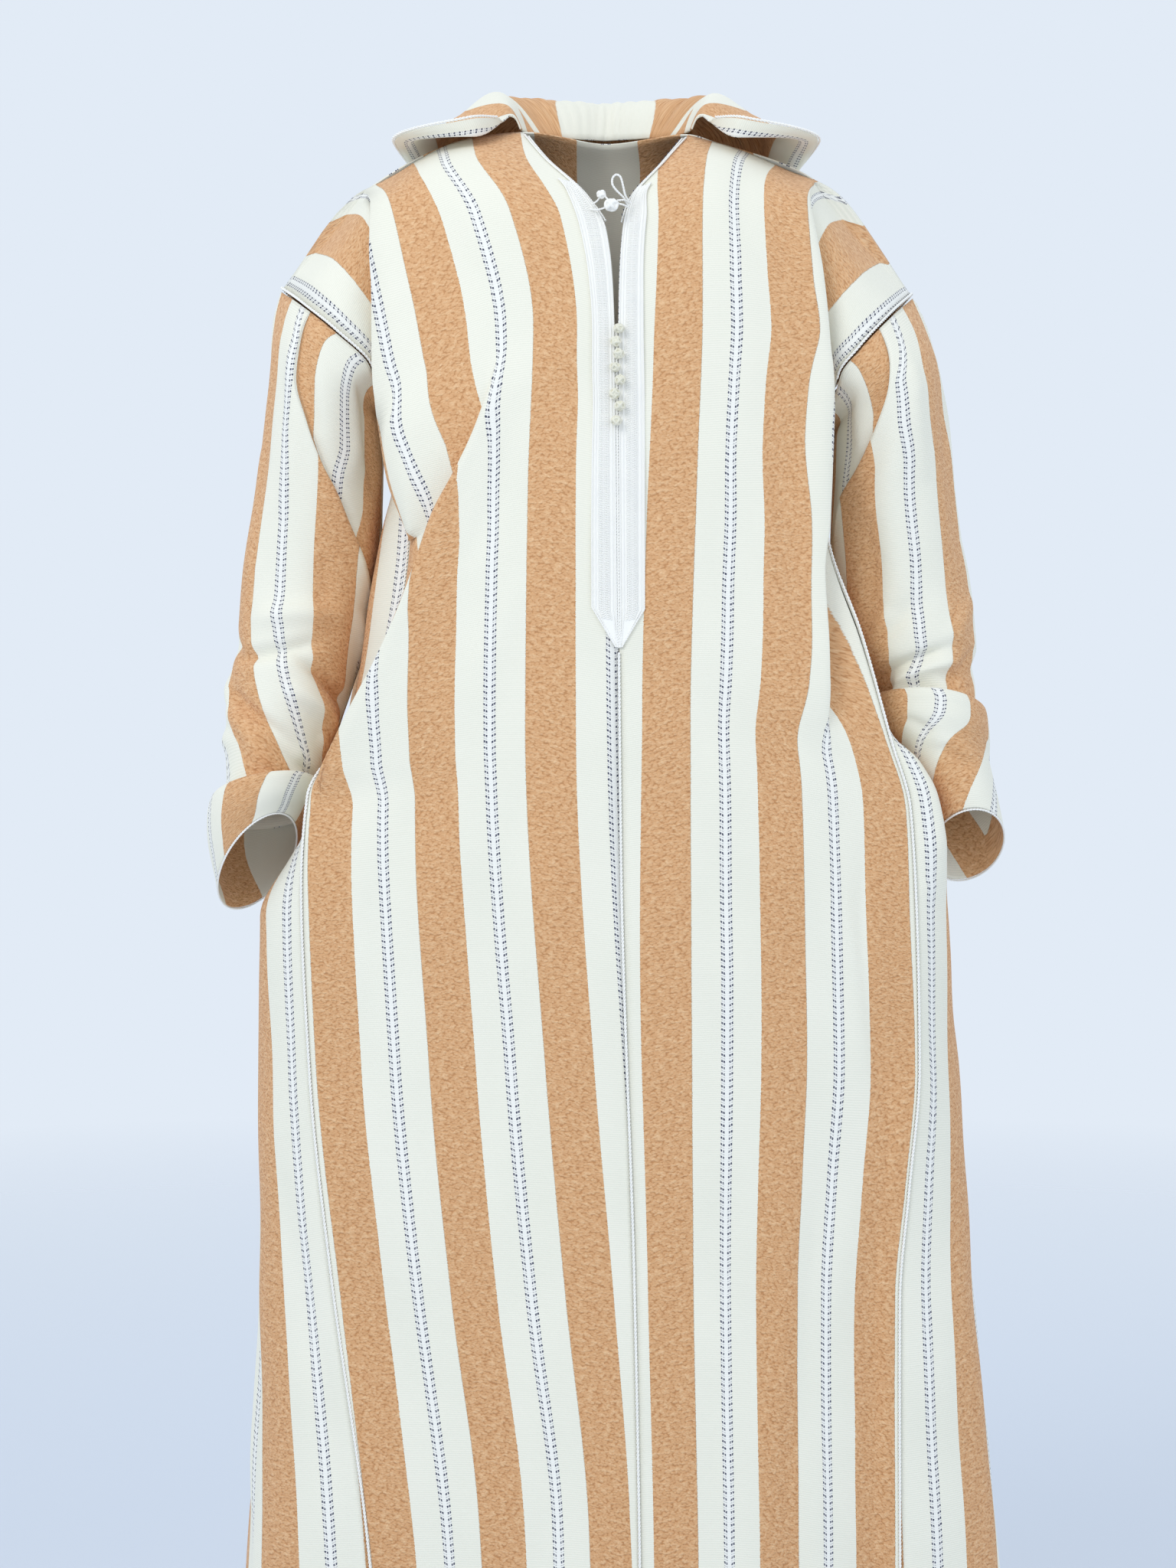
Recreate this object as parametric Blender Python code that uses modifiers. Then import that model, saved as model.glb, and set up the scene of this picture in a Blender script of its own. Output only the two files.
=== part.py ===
"""A hooded, striped djellaba robe that keeps its worn form, open and empty inside.

Each piece of cloth is a thin wall laid out on the flat sizes of its cut: u runs across the
cloth in millimetres, v runs down it from the shoulder. Seams and folds are lines on the
cloth, and the wall is the smooth sheet through them.
"""
import bpy
import bmesh
import numpy as np
from mathutils import Vector

for old in list(bpy.data.objects):
    bpy.data.objects.remove(old, do_unlink=True)

MM = 0.001
WALL = 1.6            # cloth thickness
GAP = 0.35            # clear space left at every seam
SEAM_GAP = 0.6        # the same where two walls meet at an angle
SHOULDER_GAP = 1.1    # the same at the shoulder, where the walls turn over a ridge
HOOD_STEPS = 30
HEM = 1412.0          # length of the body cloth from shoulder to hem
ARMHOLE = 215.0       # half the armhole, measured round the seam
GORE_TOP = 217.0      # where the side pieces start, down from the shoulder
SLIT_END = 140.0      # the front slit is closed below this
BRAID_TOP = 88.0
BRAID_SQUARE = 404.0  # the braid is full width down to here
BRAID_TIP = 432.0
BRAID_WIDTH = 19.5
BRAID_THICK = 1.5
PIPE = 1.25           # radius of the piping along seams and edges
BUTTON_RADIUS = 4.1
BUTTON_COUNT = 8
BUTTON_FIRST = 178.0
BUTTON_PITCH = 10.6

IVORY = (0.80, 0.78, 0.66)
WHITE = (0.86, 0.86, 0.82)

# ---- lines on the cloth: v down, u across, then the place x, y, z ------------------------
NECK_LEFT = (
    (0, 32, -73, -6, 4), (35, 20, -54, -48, -28), (70, 7, -21, -84, -67), (95, 1, -4, -98, -97),
    (140, 0, 1, -108, -142), (215, 0, 3, -118, -215), (420, 0, 5, -127, -418),
    (620, 0, 7, -130, -611), (940, 0, 17, -138, -926), (1166, 0, 21, -150, -1147),
    (1416, 0, 23, -160, -1400),
)
NECK_RIGHT = (
    (0, 54, 64, -6, 2), (35, 40, 43, -48, -31), (70, 14, 15, -84, -71), (95, 3, 8, -98, -97),
    (140, 0, 5, -108, -142), (215, 0, 4, -118, -215), (420, 0, 5, -127, -418),
    (620, 0, 7, -130, -611), (940, 0, 17, -138, -926), (1166, 0, 21, -150, -1147),
    (1416, 0, 23, -160, -1400),
)
CHEST_LEFT = (
    (0, 72, -115, -4, 0), (40, 72, -110, -52, -27), (96, 72, -81, -93, -81),
    (187, 72, -62, -111, -175), (310, 71, -66, -120, -300), (505, 70, -68, -127, -492),
    (775, 63, -52, -131, -760), (955, 54, -36, -136, -938), (1135, 46, -18, -145, -1114),
    (1416, 36, -12, -156, -1400),
)
CHEST_RIGHT = (
    (0, 74, 84, -4, -3), (40, 74, 77, -52, -30), (96, 72, 72, -93, -81),
    (187, 67, 71, -111, -175), (310, 61, 66, -120, -306), (505, 55, 61, -127, -492),
    (775, 49, 62, -131, -760), (955, 49, 63, -136, -938), (1135, 50, 66, -145, -1114),
    (1416, 50, 69, -156, -1400),
)
SIDE_LEFT = (
    (0, 295, -273, 5, -124), (64, 295, -247, -55, -149), (103, 295, -220, -78, -173),
    (142, 295, -193, -72, -199), (180, 295, -187, -45, -220), (215, 295, -184, -12, -234),
    (260, 283, -169, -40, -275), (329, 262, -162, -72, -337), (420, 258, -174, -82, -429),
    (475, 257, -195, -88, -482), (547, 258, -240, -98, -546), (620, 259, -245, -102, -618),
    (775, 254, -239, -98, -764), (940, 246, -222, -98, -925), (1140, 233, -193, -110, -1125),
    (1416, 228, -168, -118, -1402),
)
SIDE_RIGHT = (
    (0, 292, 250, 5, -129), (64, 292, 224, -55, -157), (103, 292, 198, -78, -186),
    (142, 292, 182, -72, -207), (180, 292, 179, -45, -228), (215, 292, 179, -12, -242),
    (260, 280, 166, -45, -281), (329, 258, 172, -76, -340), (408, 248, 198, -88, -418),
    (487, 246, 219, -95, -496), (548, 244, 236, -99, -555), (620, 243, 240, -100, -626),
    (775, 238, 243, -97, -764), (850, 238, 235, -98, -855), (940, 239, 227, -102, -945),
    (1120, 240, 226, -112, -1124), (1416, 240, 226, -118, -1402),
)
BACK_CENTRE = (
    (0, 0, -4, 46, 8), (26, 0, -3, 64, -10), (76, 0, -2, 84, -56), (173, 0, 0, 98, -152),
    (310, 0, 2, 106, -288), (420, 0, 4, 108, -398), (620, 0, 7, 110, -598),
    (775, 0, 12, 113, -752), (940, 0, 17, 123, -916), (1140, 0, 20, 142, -1115),
    (1416, 0, 22, 168, -1402),
)
# the back's other lines are given for the left and turned over for the right
BACK_BLADE = (
    (40, 74, -72, 34, -4), (90, 74, -73, 68, -36), (187, 76, -75, 92, -130),
    (310, 78, -76, 101, -252), (420, 78, -76, 104, -372), (620, 76, -70, 107, -578),
    (775, 76, -66, 110, -738), (940, 76, -60, 120, -906), (1140, 76, -56, 139, -1110),
    (1416, 76, -54, 165, -1402),
)
BACK_SHOULDER = (
    (60, 214, -197, 56, -69), (142, 206, -184, 82, -150), (230, 204, -164, 90, -238),
    (330, 198, -164, 88, -338), (475, 194, -184, 90, -480), (620, 190, -182, 98, -618),
    (775, 186, -178, 104, -766), (940, 184, -172, 116, -928), (1140, 182, -164, 135, -1124),
    (1416, 182, -156, 158, -1402),
)
BACK_SIDE_LEFT = (
    (0, 335, -273, 5, -124), (64, 332, -247, 62, -149), (103, 330, -220, 86, -173),
    (142, 326, -195, 82, -199), (180, 318, -188, 54, -220), (215, 310, -184, 16, -234),
    (260, 288, -170, 46, -276), (329, 268, -192, 72, -338), (420, 256, -216, 80, -429),
    (475, 252, -226, 78, -482), (547, 250, -234, 76, -553), (620, 250, -240, 78, -624),
    (775, 250, -246, 88, -768), (940, 250, -246, 100, -930), (1140, 250, -244, 118, -1130),
    (1416, 250, -240, 138, -1402),
)
BACK_SIDE_RIGHT = (
    (0, 335, 250, 5, -129), (64, 332, 224, 62, -157), (103, 330, 200, 86, -186),
    (142, 326, 184, 82, -207), (180, 318, 180, 54, -228), (215, 310, 179, 16, -242),
    (260, 288, 164, 46, -284), (329, 268, 186, 72, -346), (420, 256, 206, 80, -432),
    (487, 252, 220, 78, -500), (547, 250, 230, 76, -560), (620, 250, 240, 78, -630),
    (775, 250, 250, 88, -768), (940, 250, 254, 100, -930), (1140, 250, 256, 118, -1130),
    (1416, 250, 256, 138, -1402),
)
GORE_LEFT_FRONT = (
    (215, 0, -184, -3, -235), (260, 0, -177, -18, -276), (329, 0, -189, -35, -340),
    (420, 0, -201, -40, -428), (475, 0, -211, -45, -482), (530, 0, -232, -50, -538),
    (560, 0, -238, -60, -567), (590, 0, -257, -70, -596), (640, 0, -283, -58, -644),
    (775, 0, -280, -55, -775), (940, 0, -272, -60, -938), (1140, 0, -262, -75, -1135),
    (1416, 0, -258, -85, -1402),
)
GORE_LEFT_SIDE = (
    (215, 0, -184, 7, -235), (260, 0, -171, 14, -276), (329, 0, -180, 10, -340),
    (420, 0, -201, 8, -428), (475, 0, -212, 6, -482), (547, 0, -229, 4, -553),
    (590, 0, -242, 4, -596), (640, 0, -272, 4, -646), (775, 0, -284, 6, -775),
    (940, 0, -286, 10, -938), (1140, 0, -298, 12, -1135), (1416, 0, -312, 14, -1402),
)
GORE_RIGHT_FRONT = (
    (215, 0, 179, -3, -243), (260, 0, 167, -20, -284), (329, 0, 174, -38, -344),
    (408, 0, 200, -62, -419), (455, 0, 211, -80, -465), (487, 0, 222, -90, -498),
    (510, 0, 238, -95, -519), (548, 0, 251, -99, -550), (575, 0, 256, -99, -578),
    (600, 0, 259, -94, -602), (640, 0, 267, -74, -642), (775, 0, 274, -60, -775),
    (940, 0, 280, -66, -945), (1140, 0, 288, -80, -1140), (1416, 0, 300, -90, -1402),
)
GORE_RIGHT_SIDE = (
    (215, 0, 179, 7, -243), (260, 0, 166, 14, -284), (329, 0, 172, 8, -344),
    (370, 0, 178, 7, -382), (408, 0, 189, 6, -419), (487, 0, 206, 4, -498),
    (548, 0, 226, 2, -556), (590, 0, 238, 2, -600), (640, 0, 262, 2, -648),
    (775, 0, 281, 5, -775), (940, 0, 292, 10, -945), (1140, 0, 308, 12, -1140),
    (1416, 0, 324, 14, -1402),
)

# ---- large folds: v, u at the crest, x, y, z of the crest, then the cloth it hides, ------
# ---- how far the tuck reaches back in under the crest, and how deep it lies --------------
ARMPIT_LEFT = (
    (0, 176, -205, 5, -42, 0, 0, 0), (60, 182, -194, -60, -68, 12, 2, 4),
    (100, 189, -192, -76, -110, 26, 5, 12), (142, 198, -191, -84, -158, 40, 9, 18),
    (187, 207, -190, -88, -206, 46, 12, 24), (230, 222, -186, -91, -251, 40, 11, 24),
    (275, 230, -177, -92, -296, 18, 5, 15), (330, 228, -160, -92, -342, 0, 0, 0),
)
ARMPIT_RIGHT = (
    (0, 164, 170, 5, -33, 0, 0, 0), (60, 172, 160, -62, -66, 10, 2, 4),
    (100, 173, 164, -76, -100, 26, 5, 12), (142, 172, 168, -84, -132, 40, 9, 18),
    (187, 168, 172, -89, -174, 50, 12, 24), (232, 178, 175, -93, -218, 50, 12, 24),
    (272, 180, 175, -96, -259, 46, 11, 24), (330, 168, 172, -101, -325, 66, 18, 22),
    (372, 162, 167, -106, -367, 78, 23, 20), (425, 163, 170, -110, -424, 64, 19, 18),
    (462, 166, 171, -113, -460, 38, 11, 13), (490, 172, 177, -115, -490, 16, 4, 7),
    (520, 182, 187, -117, -520, 0, 0, 0),
)
APRON_LEFT = (
    (196, 98, -88, -112, -186, 0, 0, 0), (240, 107, -101, -119, -241, 20, 5, 9),
    (290, 130, -124, -121, -295, 35, 11, 14), (322, 147, -141, -121, -328, 45, 15, 16),
    (345, 157, -150, -121, -351, 60, 20, 18), (372, 164, -159, -121, -378, 84, 26, 20),
    (425, 185, -181, -118, -431, 62, 20, 18), (477, 212, -209, -114, -482, 36, 11, 14),
    (530, 240, -234, -105, -534, 9, 1, 2), (560, 246, -242, -102, -561, 0, 0, 0),
)

# ---- soft folds of the skirt: u of the ridge, half width, height, v where it starts -------
SOFT_BACK = ((-205, 38, 13, 480), (-118, 40, 10, 640), (-30, 44, 12, 520), (66, 42, 10, 700),
             (150, 40, 12, 560), (222, 34, 10, 620))
SOFT_FRONT_LEFT = ((40, 46, 2.5, 500), (214, 30, -4, 700))
SOFT_FRONT_RIGHT = ((105, 42, 3, 620), (214, 26, -7, 640))
SOFT_GORE = ((0.36, 0.13, 9, 660), (0.74, 0.12, 11, 560))

# ---- sleeves: s along the arm, centre x y z, outward half width x z, forward half depth y z
SLEEVE_LEFT = (
    (70, -236, -2, -232, -46, 19, -78, 8), (150, -241, 0, -292, -51, 8, -72, 2),
    (240, -249, 2, -371, -55, 5, -66, 0), (330, -263, -10, -448, -48, 9, -59, 8),
    (400, -276, -28, -517, -39, 8, -44, 16), (425, -279, -33, -547, -36, -3, -42, 16),
    (436, -280, -35, -557, -38.5, -6, -47, 16), (447, -281, -36, -550, -41, -8, -51, 16),
    (458, -282, -38, -544, -43.5, -9, -56, 16), (469, -283, -39, -551, -44.5, -11, -59, 18),
    (480, -284, -40, -559, -44, -13, -59, 20), (560, -287, -50, -598, -32, -26, -48, 30),
)
SLEEVE_RIGHT = (
    (70, 230, -2, -238, 45, 19, -78, 8), (150, 233, 0, -298, 49, 8, -72, 2),
    (235, 241, 2, -371, 55, 4, -66, 0), (300, 252, -8, -429, 49, 5, -58, 6),
    (340, 259, -17, -462, 39, 2, -45, 12), (358, 260, -20, -482, 37.5, -2, -45, 12),
    (372, 260, -21, -492, 40, -4, -49, 12), (385, 260, -21, -482, 42, -5, -53, 12),
    (398, 261, -22, -472, 45, -6, -57, 12), (410, 262, -23, -481, 46.5, -6, -60, 13),
    (420, 263, -25, -490, 46, -5, -60, 15), (470, 273, -34, -525, 36, -2, -50, 22),
    (530, 289, -42, -585, 30, 1, -41, 30),
)

# ---- hood lying down: lines from the left neck point (p 0) round the back (p 0.5) --------
# ---- p along the line, then x, y, z; the right half is the left turned over --------------
HOOD_MIDDLE = -4.0
HOOD_LINES = {
    "neck": ((0, -75, -8, 6), (0.12, -73, 3, 7), (0.26, -62, 22, 8), (0.5, -4, 47, 10)),
    "stand": ((0, -78, -9, 13), (0.12, -84, 0, 26), (0.26, -92, 36, 46), (0.5, -4, 74, 48)),
    "over": ((0, -82, -11, 16), (0.12, -98, -16, 14), (0.26, -128, 22, 24), (0.38, -112, 76, 26),
             (0.5, -4, 100, 22)),
    "inner": ((0, -85, -15, 14), (0.12, -106, -32, -2), (0.26, -150, 2, 5), (0.32, -144, 52, -8),
              (0.38, -118, 98, -60),
              (0.5, -4, 116, -170)),
    "peak": ((0, -88, -20, 10), (0.12, -112, -43, -9), (0.26, -164, -12, -5),
             (0.32, -154, 62, -20), (0.38, -124, 114, -120), (0.5, -4, 124, -375)),
    "outer": ((0, -90, -24, 9), (0.12, -115, -47, -3), (0.26, -172, -18, -7),
              (0.32, -162, 66, -20), (0.38, -130, 126, -76), (0.5, -4, 138, -190)),
    "edge": ((0, -92, -28, 10), (0.12, -118, -49, 3), (0.26, -178, -22, -7), (0.32, -166, 62, -14),
             (0.38, -136, 124, -34), (0.5, -4, 144, -60)),
}
HOOD_SHARE = {"neck": 0.0, "stand": 0.10, "over": 0.22, "inner": 0.42, "peak": 0.62,
              "outer": 0.82, "edge": 1.0}


# ---- smooth curves through short tables --------------------------------------------------
def smooth(xs, ys, x):
    """Monotone cubic through (xs, ys); ys may hold several columns."""
    xs = np.asarray(xs, float)
    ys = np.asarray(ys, float)
    h = np.diff(xs)
    d = np.diff(ys, axis=0) / h[:, None]
    m = np.zeros_like(ys)
    m[0] = d[0]
    m[-1] = d[-1]
    for i in range(1, len(xs) - 1):
        w1 = 2 * h[i] + h[i - 1]
        w2 = h[i] + 2 * h[i - 1]
        same = d[i - 1] * d[i] > 0
        safe = np.where(same, w1 / np.where(same, d[i - 1], 1) + w2 / np.where(same, d[i], 1), 1)
        m[i] = np.where(same, (w1 + w2) / safe, 0)
    i = int(np.clip(np.searchsorted(xs, x) - 1, 0, len(xs) - 2))
    t = (x - xs[i]) / h[i]
    a = 2 * t**3 - 3 * t**2 + 1
    b = t**3 - 2 * t**2 + t
    c = -2 * t**3 + 3 * t**2
    e = t**3 - t**2
    return a * ys[i] + b * h[i] * m[i] + c * ys[i + 1] + e * h[i] * m[i + 1]


def line_at(rows, v):
    """The row of a table at v, all its other columns smoothly between the rows."""
    table = np.asarray(rows, float)
    v = float(np.clip(v, table[0, 0], table[-1, 0]))
    return smooth(table[:, 0], table[:, 1:], v)


def through(knots, u):
    """Smooth curve through knots of (u, point)."""
    us = np.array([k[0] for k in knots], float)
    ps = np.array([k[1] for k in knots], float)
    h = np.diff(us)
    d = np.diff(ps, axis=0) / h[:, None]
    m = np.zeros_like(ps)
    m[0] = d[0]
    m[-1] = d[-1]
    if len(us) > 2:
        m[0] = d[0] * 1.35 - d[1] * 0.35 if h[1] < 4 * h[0] else d[0]
        m[-1] = d[-1]
    for i in range(1, len(us) - 1):
        m[i] = (h[i] * d[i - 1] + h[i - 1] * d[i]) / (h[i] + h[i - 1])
    i = int(np.clip(np.searchsorted(us, u) - 1, 0, len(us) - 2))
    t = (u - us[i]) / h[i]
    a = 2 * t**3 - 3 * t**2 + 1
    b = t**3 - 2 * t**2 + t
    c = -2 * t**3 + 3 * t**2
    e = t**3 - t**2
    return a * ps[i] + b * h[i] * m[i] + c * ps[i + 1] + e * h[i] * m[i + 1]


def fold_knots(rows, v, inward, stay):
    """Crest, tuck and under-layer of one fold at v; stay is how far in the under-layer lies."""
    if not rows[0][0] <= v <= rows[-1][0]:
        return []
    u, x, y, z, hidden, reach, depth = line_at(rows, v)
    crest = np.array((x, y, z))
    knots = [(u, crest)]
    if hidden > 9:
        knots.append((u + 0.5 * hidden, crest + (inward * reach, 0.55 * depth, 0)))
        knots.append((u + hidden, crest + (inward * stay * reach, depth, 0)))
    return knots


def ease(knots, plain, strength):
    """Move fold knots back on to the plain sheet where the fold fades."""
    return [(u, through(plain, u) * (1 - strength) + p * strength) for u, p in knots]


def fade(v, first, full, last_full, last):
    rise = np.clip((v - first) / max(full - first, 1e-6), 0, 1)
    fall = np.clip((last - v) / max(last - last_full, 1e-6), 0, 1)
    s = min(rise, fall)
    return s * s * (3 - 2 * s)


def front_knots(side, v):
    neck, chest, edge = (NECK_LEFT, CHEST_LEFT, SIDE_LEFT) if side < 0 else (
        NECK_RIGHT, CHEST_RIGHT, SIDE_RIGHT)
    plain = [(row[0], row[1:]) for row in (line_at(r, v) for r in (neck, chest, edge))]
    armpit = ARMPIT_LEFT if side < 0 else ARMPIT_RIGHT
    last = armpit[-1][0]
    knots = list(plain)
    keep = fold_knots(armpit, v, -side, 0.9)
    knots += ease(keep, plain, fade(v, -1, 0, last - 60, last))
    knots.sort(key=lambda k: k[0])
    if side < 0:
        base = list(knots)
        apron = fold_knots(APRON_LEFT, v, -side, -0.1)
        apron = ease(apron, base, fade(v, 196, 240, 530, 560))
        if apron:
            low = apron[0][0] - 4
            high = apron[-1][0] + 4
            outer = plain[-1][0]
            knots = [k for k in base if k[0] < low or k[0] > high or k[0] == outer]
            knots += [k for k in apron if k[0] < outer - 3]
            knots.sort(key=lambda k: k[0])
    return knots


def soft(rows, u, v):
    """Height of the soft folds at (u, v): each grows from its start down to the hem."""
    total = 0.0
    for middle, half, height, start in rows:
        grow = np.clip((v - start) / (HEM - start), 0, 1)
        total += height * grow * (2 - grow) * np.exp(-((u - middle) / half) ** 2)
    return total


def front_point(side, u, v):
    rows = SOFT_FRONT_LEFT if side < 0 else SOFT_FRONT_RIGHT
    outer = front_edges(side, v)[1]
    edge = np.clip(u / 14, 0, 1) * np.clip((outer - u) / 22, 0, 1)
    return through(front_knots(side, v), u) + (0, -soft(rows, u, v) * edge, 0)


def front_edges(side, v):
    neck, edge = (NECK_LEFT, SIDE_LEFT) if side < 0 else (NECK_RIGHT, SIDE_RIGHT)
    return line_at(neck, v)[0], line_at(edge, v)[0]


def back_rows(rows, side, top):
    """A back line for one side, starting from its place on the shoulder."""
    turned = [(v, u, -side * x, y, z) for v, u, x, y, z in rows]
    return [(0,) + tuple(top)] + turned


def back_knots(side, v):
    neck, chest, outer, armpit = (
        (NECK_LEFT, CHEST_LEFT, BACK_SIDE_LEFT, ARMPIT_LEFT) if side < 0 else
        (NECK_RIGHT, CHEST_RIGHT, BACK_SIDE_RIGHT, ARMPIT_RIGHT))
    blade = back_rows(BACK_BLADE, side, (75,) + neck[0][2:])
    shoulder = back_rows(BACK_SHOULDER, side, (216,) + armpit[0][2:5])
    knots = [(0.0, line_at(BACK_CENTRE, v)[1:])]
    for rows in (blade, shoulder, outer):
        row = line_at(rows, v)
        knots.append((row[0], row[1:].copy()))
    if v < 60:
        row = line_at(((0, 116) + chest[0][2:], (60, 114, side * 112, 52, -22)), v)
        knots.insert(2, (row[0], row[1:]))
    return knots


def back_point(u, v):
    side = -1 if u < 0 else 1
    knots = back_knots(side, v)
    other = back_knots(-side, v)[1]
    knots = [(-other[0], other[1])] + knots
    edge = np.clip((knots[-1][0] - abs(u)) / 40, 0, 1)
    return through(knots, abs(u)) + (0, soft(SOFT_BACK, u, v) * edge, 0)


def gore_width(v):
    return float(smooth((215, 260, 329, 420, 620, 1416),
                        np.array(((28,), (92,), (136,), (160,), (200,), (330,))), v)[0])


def gore_point(side, u, v):
    front = line_at(SIDE_LEFT if side < 0 else SIDE_RIGHT, v)[1:]
    near, mid = (GORE_LEFT_FRONT, GORE_LEFT_SIDE) if side < 0 else (
        GORE_RIGHT_FRONT, GORE_RIGHT_SIDE)
    near = line_at(near, v)[1:]
    mid = line_at(mid, v)[1:]
    back = back_knots(side, v)[-1][1]
    points = [front, near, mid, back]
    steps = np.linalg.norm(np.diff(points, axis=0), axis=1)
    at = np.concatenate(((0,), np.cumsum(steps)))
    t = u / gore_width(v)
    out = soft(SOFT_GORE, t, v) * min(1, 8 * t, 8 * (1 - t))
    return through(list(zip(at / at[-1], points)), t) + (side * out, 0, 0)


def armhole_ring(side, turn):
    """A point of the armhole seam; turn runs 0 at the shoulder, forward and round to 1."""
    total = 2 * ARMHOLE + gore_width(215)
    at = turn * total
    if at <= ARMHOLE:
        return line_at(SIDE_LEFT if side < 0 else SIDE_RIGHT, at)[1:]
    if at >= total - ARMHOLE:
        return back_knots(side, total - at)[-1][1]
    return gore_point(side, at - ARMHOLE, ARMHOLE)


def sleeve_point(side, turn, s):
    rows = SLEEVE_LEFT if side < 0 else SLEEVE_RIGHT
    x, y, z, ox, oz, fy, fz = line_at(rows, max(s, rows[0][0]))
    angle = 2 * np.pi * turn
    tube = (np.array((x, y, z)) + np.cos(angle) * np.array((ox, 0, oz))
            + np.sin(angle) * np.array((0, fy, fz)))
    if s >= rows[0][0]:
        return tube
    ring = armhole_ring(side, turn)
    t = s / rows[0][0]
    ahead = line_at(rows, rows[0][0] + 12)
    tube_ahead = (ahead[:3] + np.cos(angle) * np.array((ahead[3], 0, ahead[4]))
                  + np.sin(angle) * np.array((0, ahead[5], ahead[6])))
    pull = (tube_ahead - tube) / 12 * rows[0][0]
    a = 2 * t**3 - 3 * t**2 + 1
    b = t**3 - 2 * t**2 + t
    c = -2 * t**3 + 3 * t**2
    e = t**3 - t**2
    return a * ring + b * (tube - ring + (side * 30, 0, 0)) + c * tube + e * pull


def hood_point(p, q):
    left = p <= 0.5
    at = p if left else 1 - p
    knots = [(HOOD_SHARE[name], line_at(rows, at)) for name, rows in HOOD_LINES.items()]
    point = through(knots, q)
    if not left:
        point = point * (-1, 1, 1) + (2 * HOOD_MIDDLE, 0, 0)
    return point


# ---- from a point function to a solid ----------------------------------------------------
collection = bpy.data.collections.new("djellaba_robe")
bpy.context.scene.collection.children.link(collection)
materials = {}


def material(name, colour, roughness):
    if name not in materials:
        made = bpy.data.materials.new(name)
        made.use_nodes = True
        shader = made.node_tree.nodes["Principled BSDF"]
        shader.inputs["Base Color"].default_value = (*colour, 1)
        shader.inputs["Roughness"].default_value = roughness
        shader.inputs["Metallic"].default_value = 0.0
        materials[name] = made
    return materials[name]


def add(name, bm, made, wall=0.0):
    mesh = bpy.data.meshes.new(name)
    bm.to_mesh(mesh)
    bm.free()
    obj = bpy.data.objects.new(name, mesh)
    obj.data.materials.append(made)
    collection.objects.link(obj)
    if wall:
        solid = obj.modifiers.new("wall", "SOLIDIFY")
        solid.thickness = wall * MM
        solid.offset = 0.0
        solid.use_even_offset = False
    return obj


def sheet(name, point, nu, nv, made, wall=WALL, closed=False):
    """A wall through point(a, b), a and b from 0 to 1, on an nu by nv grid."""
    bm = bmesh.new()
    bmesh.ops.create_grid(bm, x_segments=nu, y_segments=nv, size=0.5)
    for vert in bm.verts:
        vert.co = Vector(point(vert.co.x + 0.5, vert.co.y + 0.5)) * MM
    if closed:
        bmesh.ops.remove_doubles(bm, verts=bm.verts, dist=0.0001)
    return add(name, bm, made, wall)


def unit(vector):
    return vector / max(np.linalg.norm(vector), 1e-9)


def tube(name, points, radius, made, sides=6, closed=False):
    """A round cord through the points."""
    curve = bpy.data.curves.new(name, "CURVE")
    curve.dimensions = "3D"
    curve.bevel_depth = radius * MM
    curve.bevel_resolution = 1
    curve.use_fill_caps = not closed
    spline = curve.splines.new("POLY")
    spline.points.add(len(points) - 1)
    for spot, place in zip(spline.points, points):
        spot.co = (*(np.asarray(place) * MM), 1)
    spline.use_cyclic_u = closed
    obj = bpy.data.objects.new(name, curve)
    obj.data.materials.append(made)
    collection.objects.link(obj)
    return obj


def lift(point, u, v, height, step=2.0):
    """The place over a sheet at (u, v), raised outward by height."""
    across = point(u + step, v) - point(u - step, v)
    down = point(u, v + step) - point(u, v - step)
    return point(u, v) + unit(np.cross(across, down)) * height


cloth = material("striped_cloth", IVORY, 0.9)
trim = material("white_trim", WHITE, 0.7)


# ---- body ---------------------------------------------------------------------------------
def spaced(values, t):
    """Even steps through the listed stations."""
    stations = np.asarray(values, float)
    at = t * (len(stations) - 1)
    i = min(int(at), len(stations) - 2)
    return stations[i] + (at - i) * (stations[i + 1] - stations[i])


DOWN = (SHOULDER_GAP, 16, 34, 54, 76, 100, 124, 148, 172, 194, 215, 238, 262, 288, 312, 336, 360,
        385, 410, 436, 462, 488, 514, 540, 570, 600, 650, 710, 775, 850, 940, 1030, 1130, 1230, 1320,
        HEM)
# columns of the grid in each band between the fold lines of a front
BANDS_LEFT = (5, 6, 1, 4, 1)
BANDS_RIGHT = (6, 6, 4)


def fold_lines(rows, v, inner, outer):
    """Where a fold starts and ends across the panel, as shares of its width."""
    crest, hidden = line_at(rows, v)[[0, 4]]
    start = (crest - inner) / (outer - inner)
    return start, start + max(hidden, 14) / (outer - inner)


def front_stations(side, v):
    """The columns' places across a front at v, from 0 to 1, following its folds."""
    inner, outer = front_edges(side, v)
    level = float(np.clip((v - 570) / 130, 0, 1))
    if side < 0:
        crest, tuck = fold_lines(APRON_LEFT, v, inner, outer)
        crest = crest * (1 - level) + 0.40 * level
        tuck = min(tuck, 0.96) * (1 - level) + 0.66 * level
        armpit, under = fold_lines(ARMPIT_LEFT, v, inner, outer)
        armpit = min(max(armpit, tuck + 0.012), 0.975)
        under = min(max(under, armpit + 0.012), 0.988)
        lines = (0, crest, tuck, armpit, under, 1)
        bands = BANDS_LEFT
    else:
        crest, tuck = fold_lines(ARMPIT_RIGHT, v, inner, outer)
        lines = (0, crest, max(tuck, crest + 0.12 * level), 1)
        bands = BANDS_RIGHT
    stations = [0.0]
    for low, high, count in zip(lines, lines[1:], bands):
        stations += list(np.linspace(low, high, count + 1)[1:])
    return stations


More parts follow.
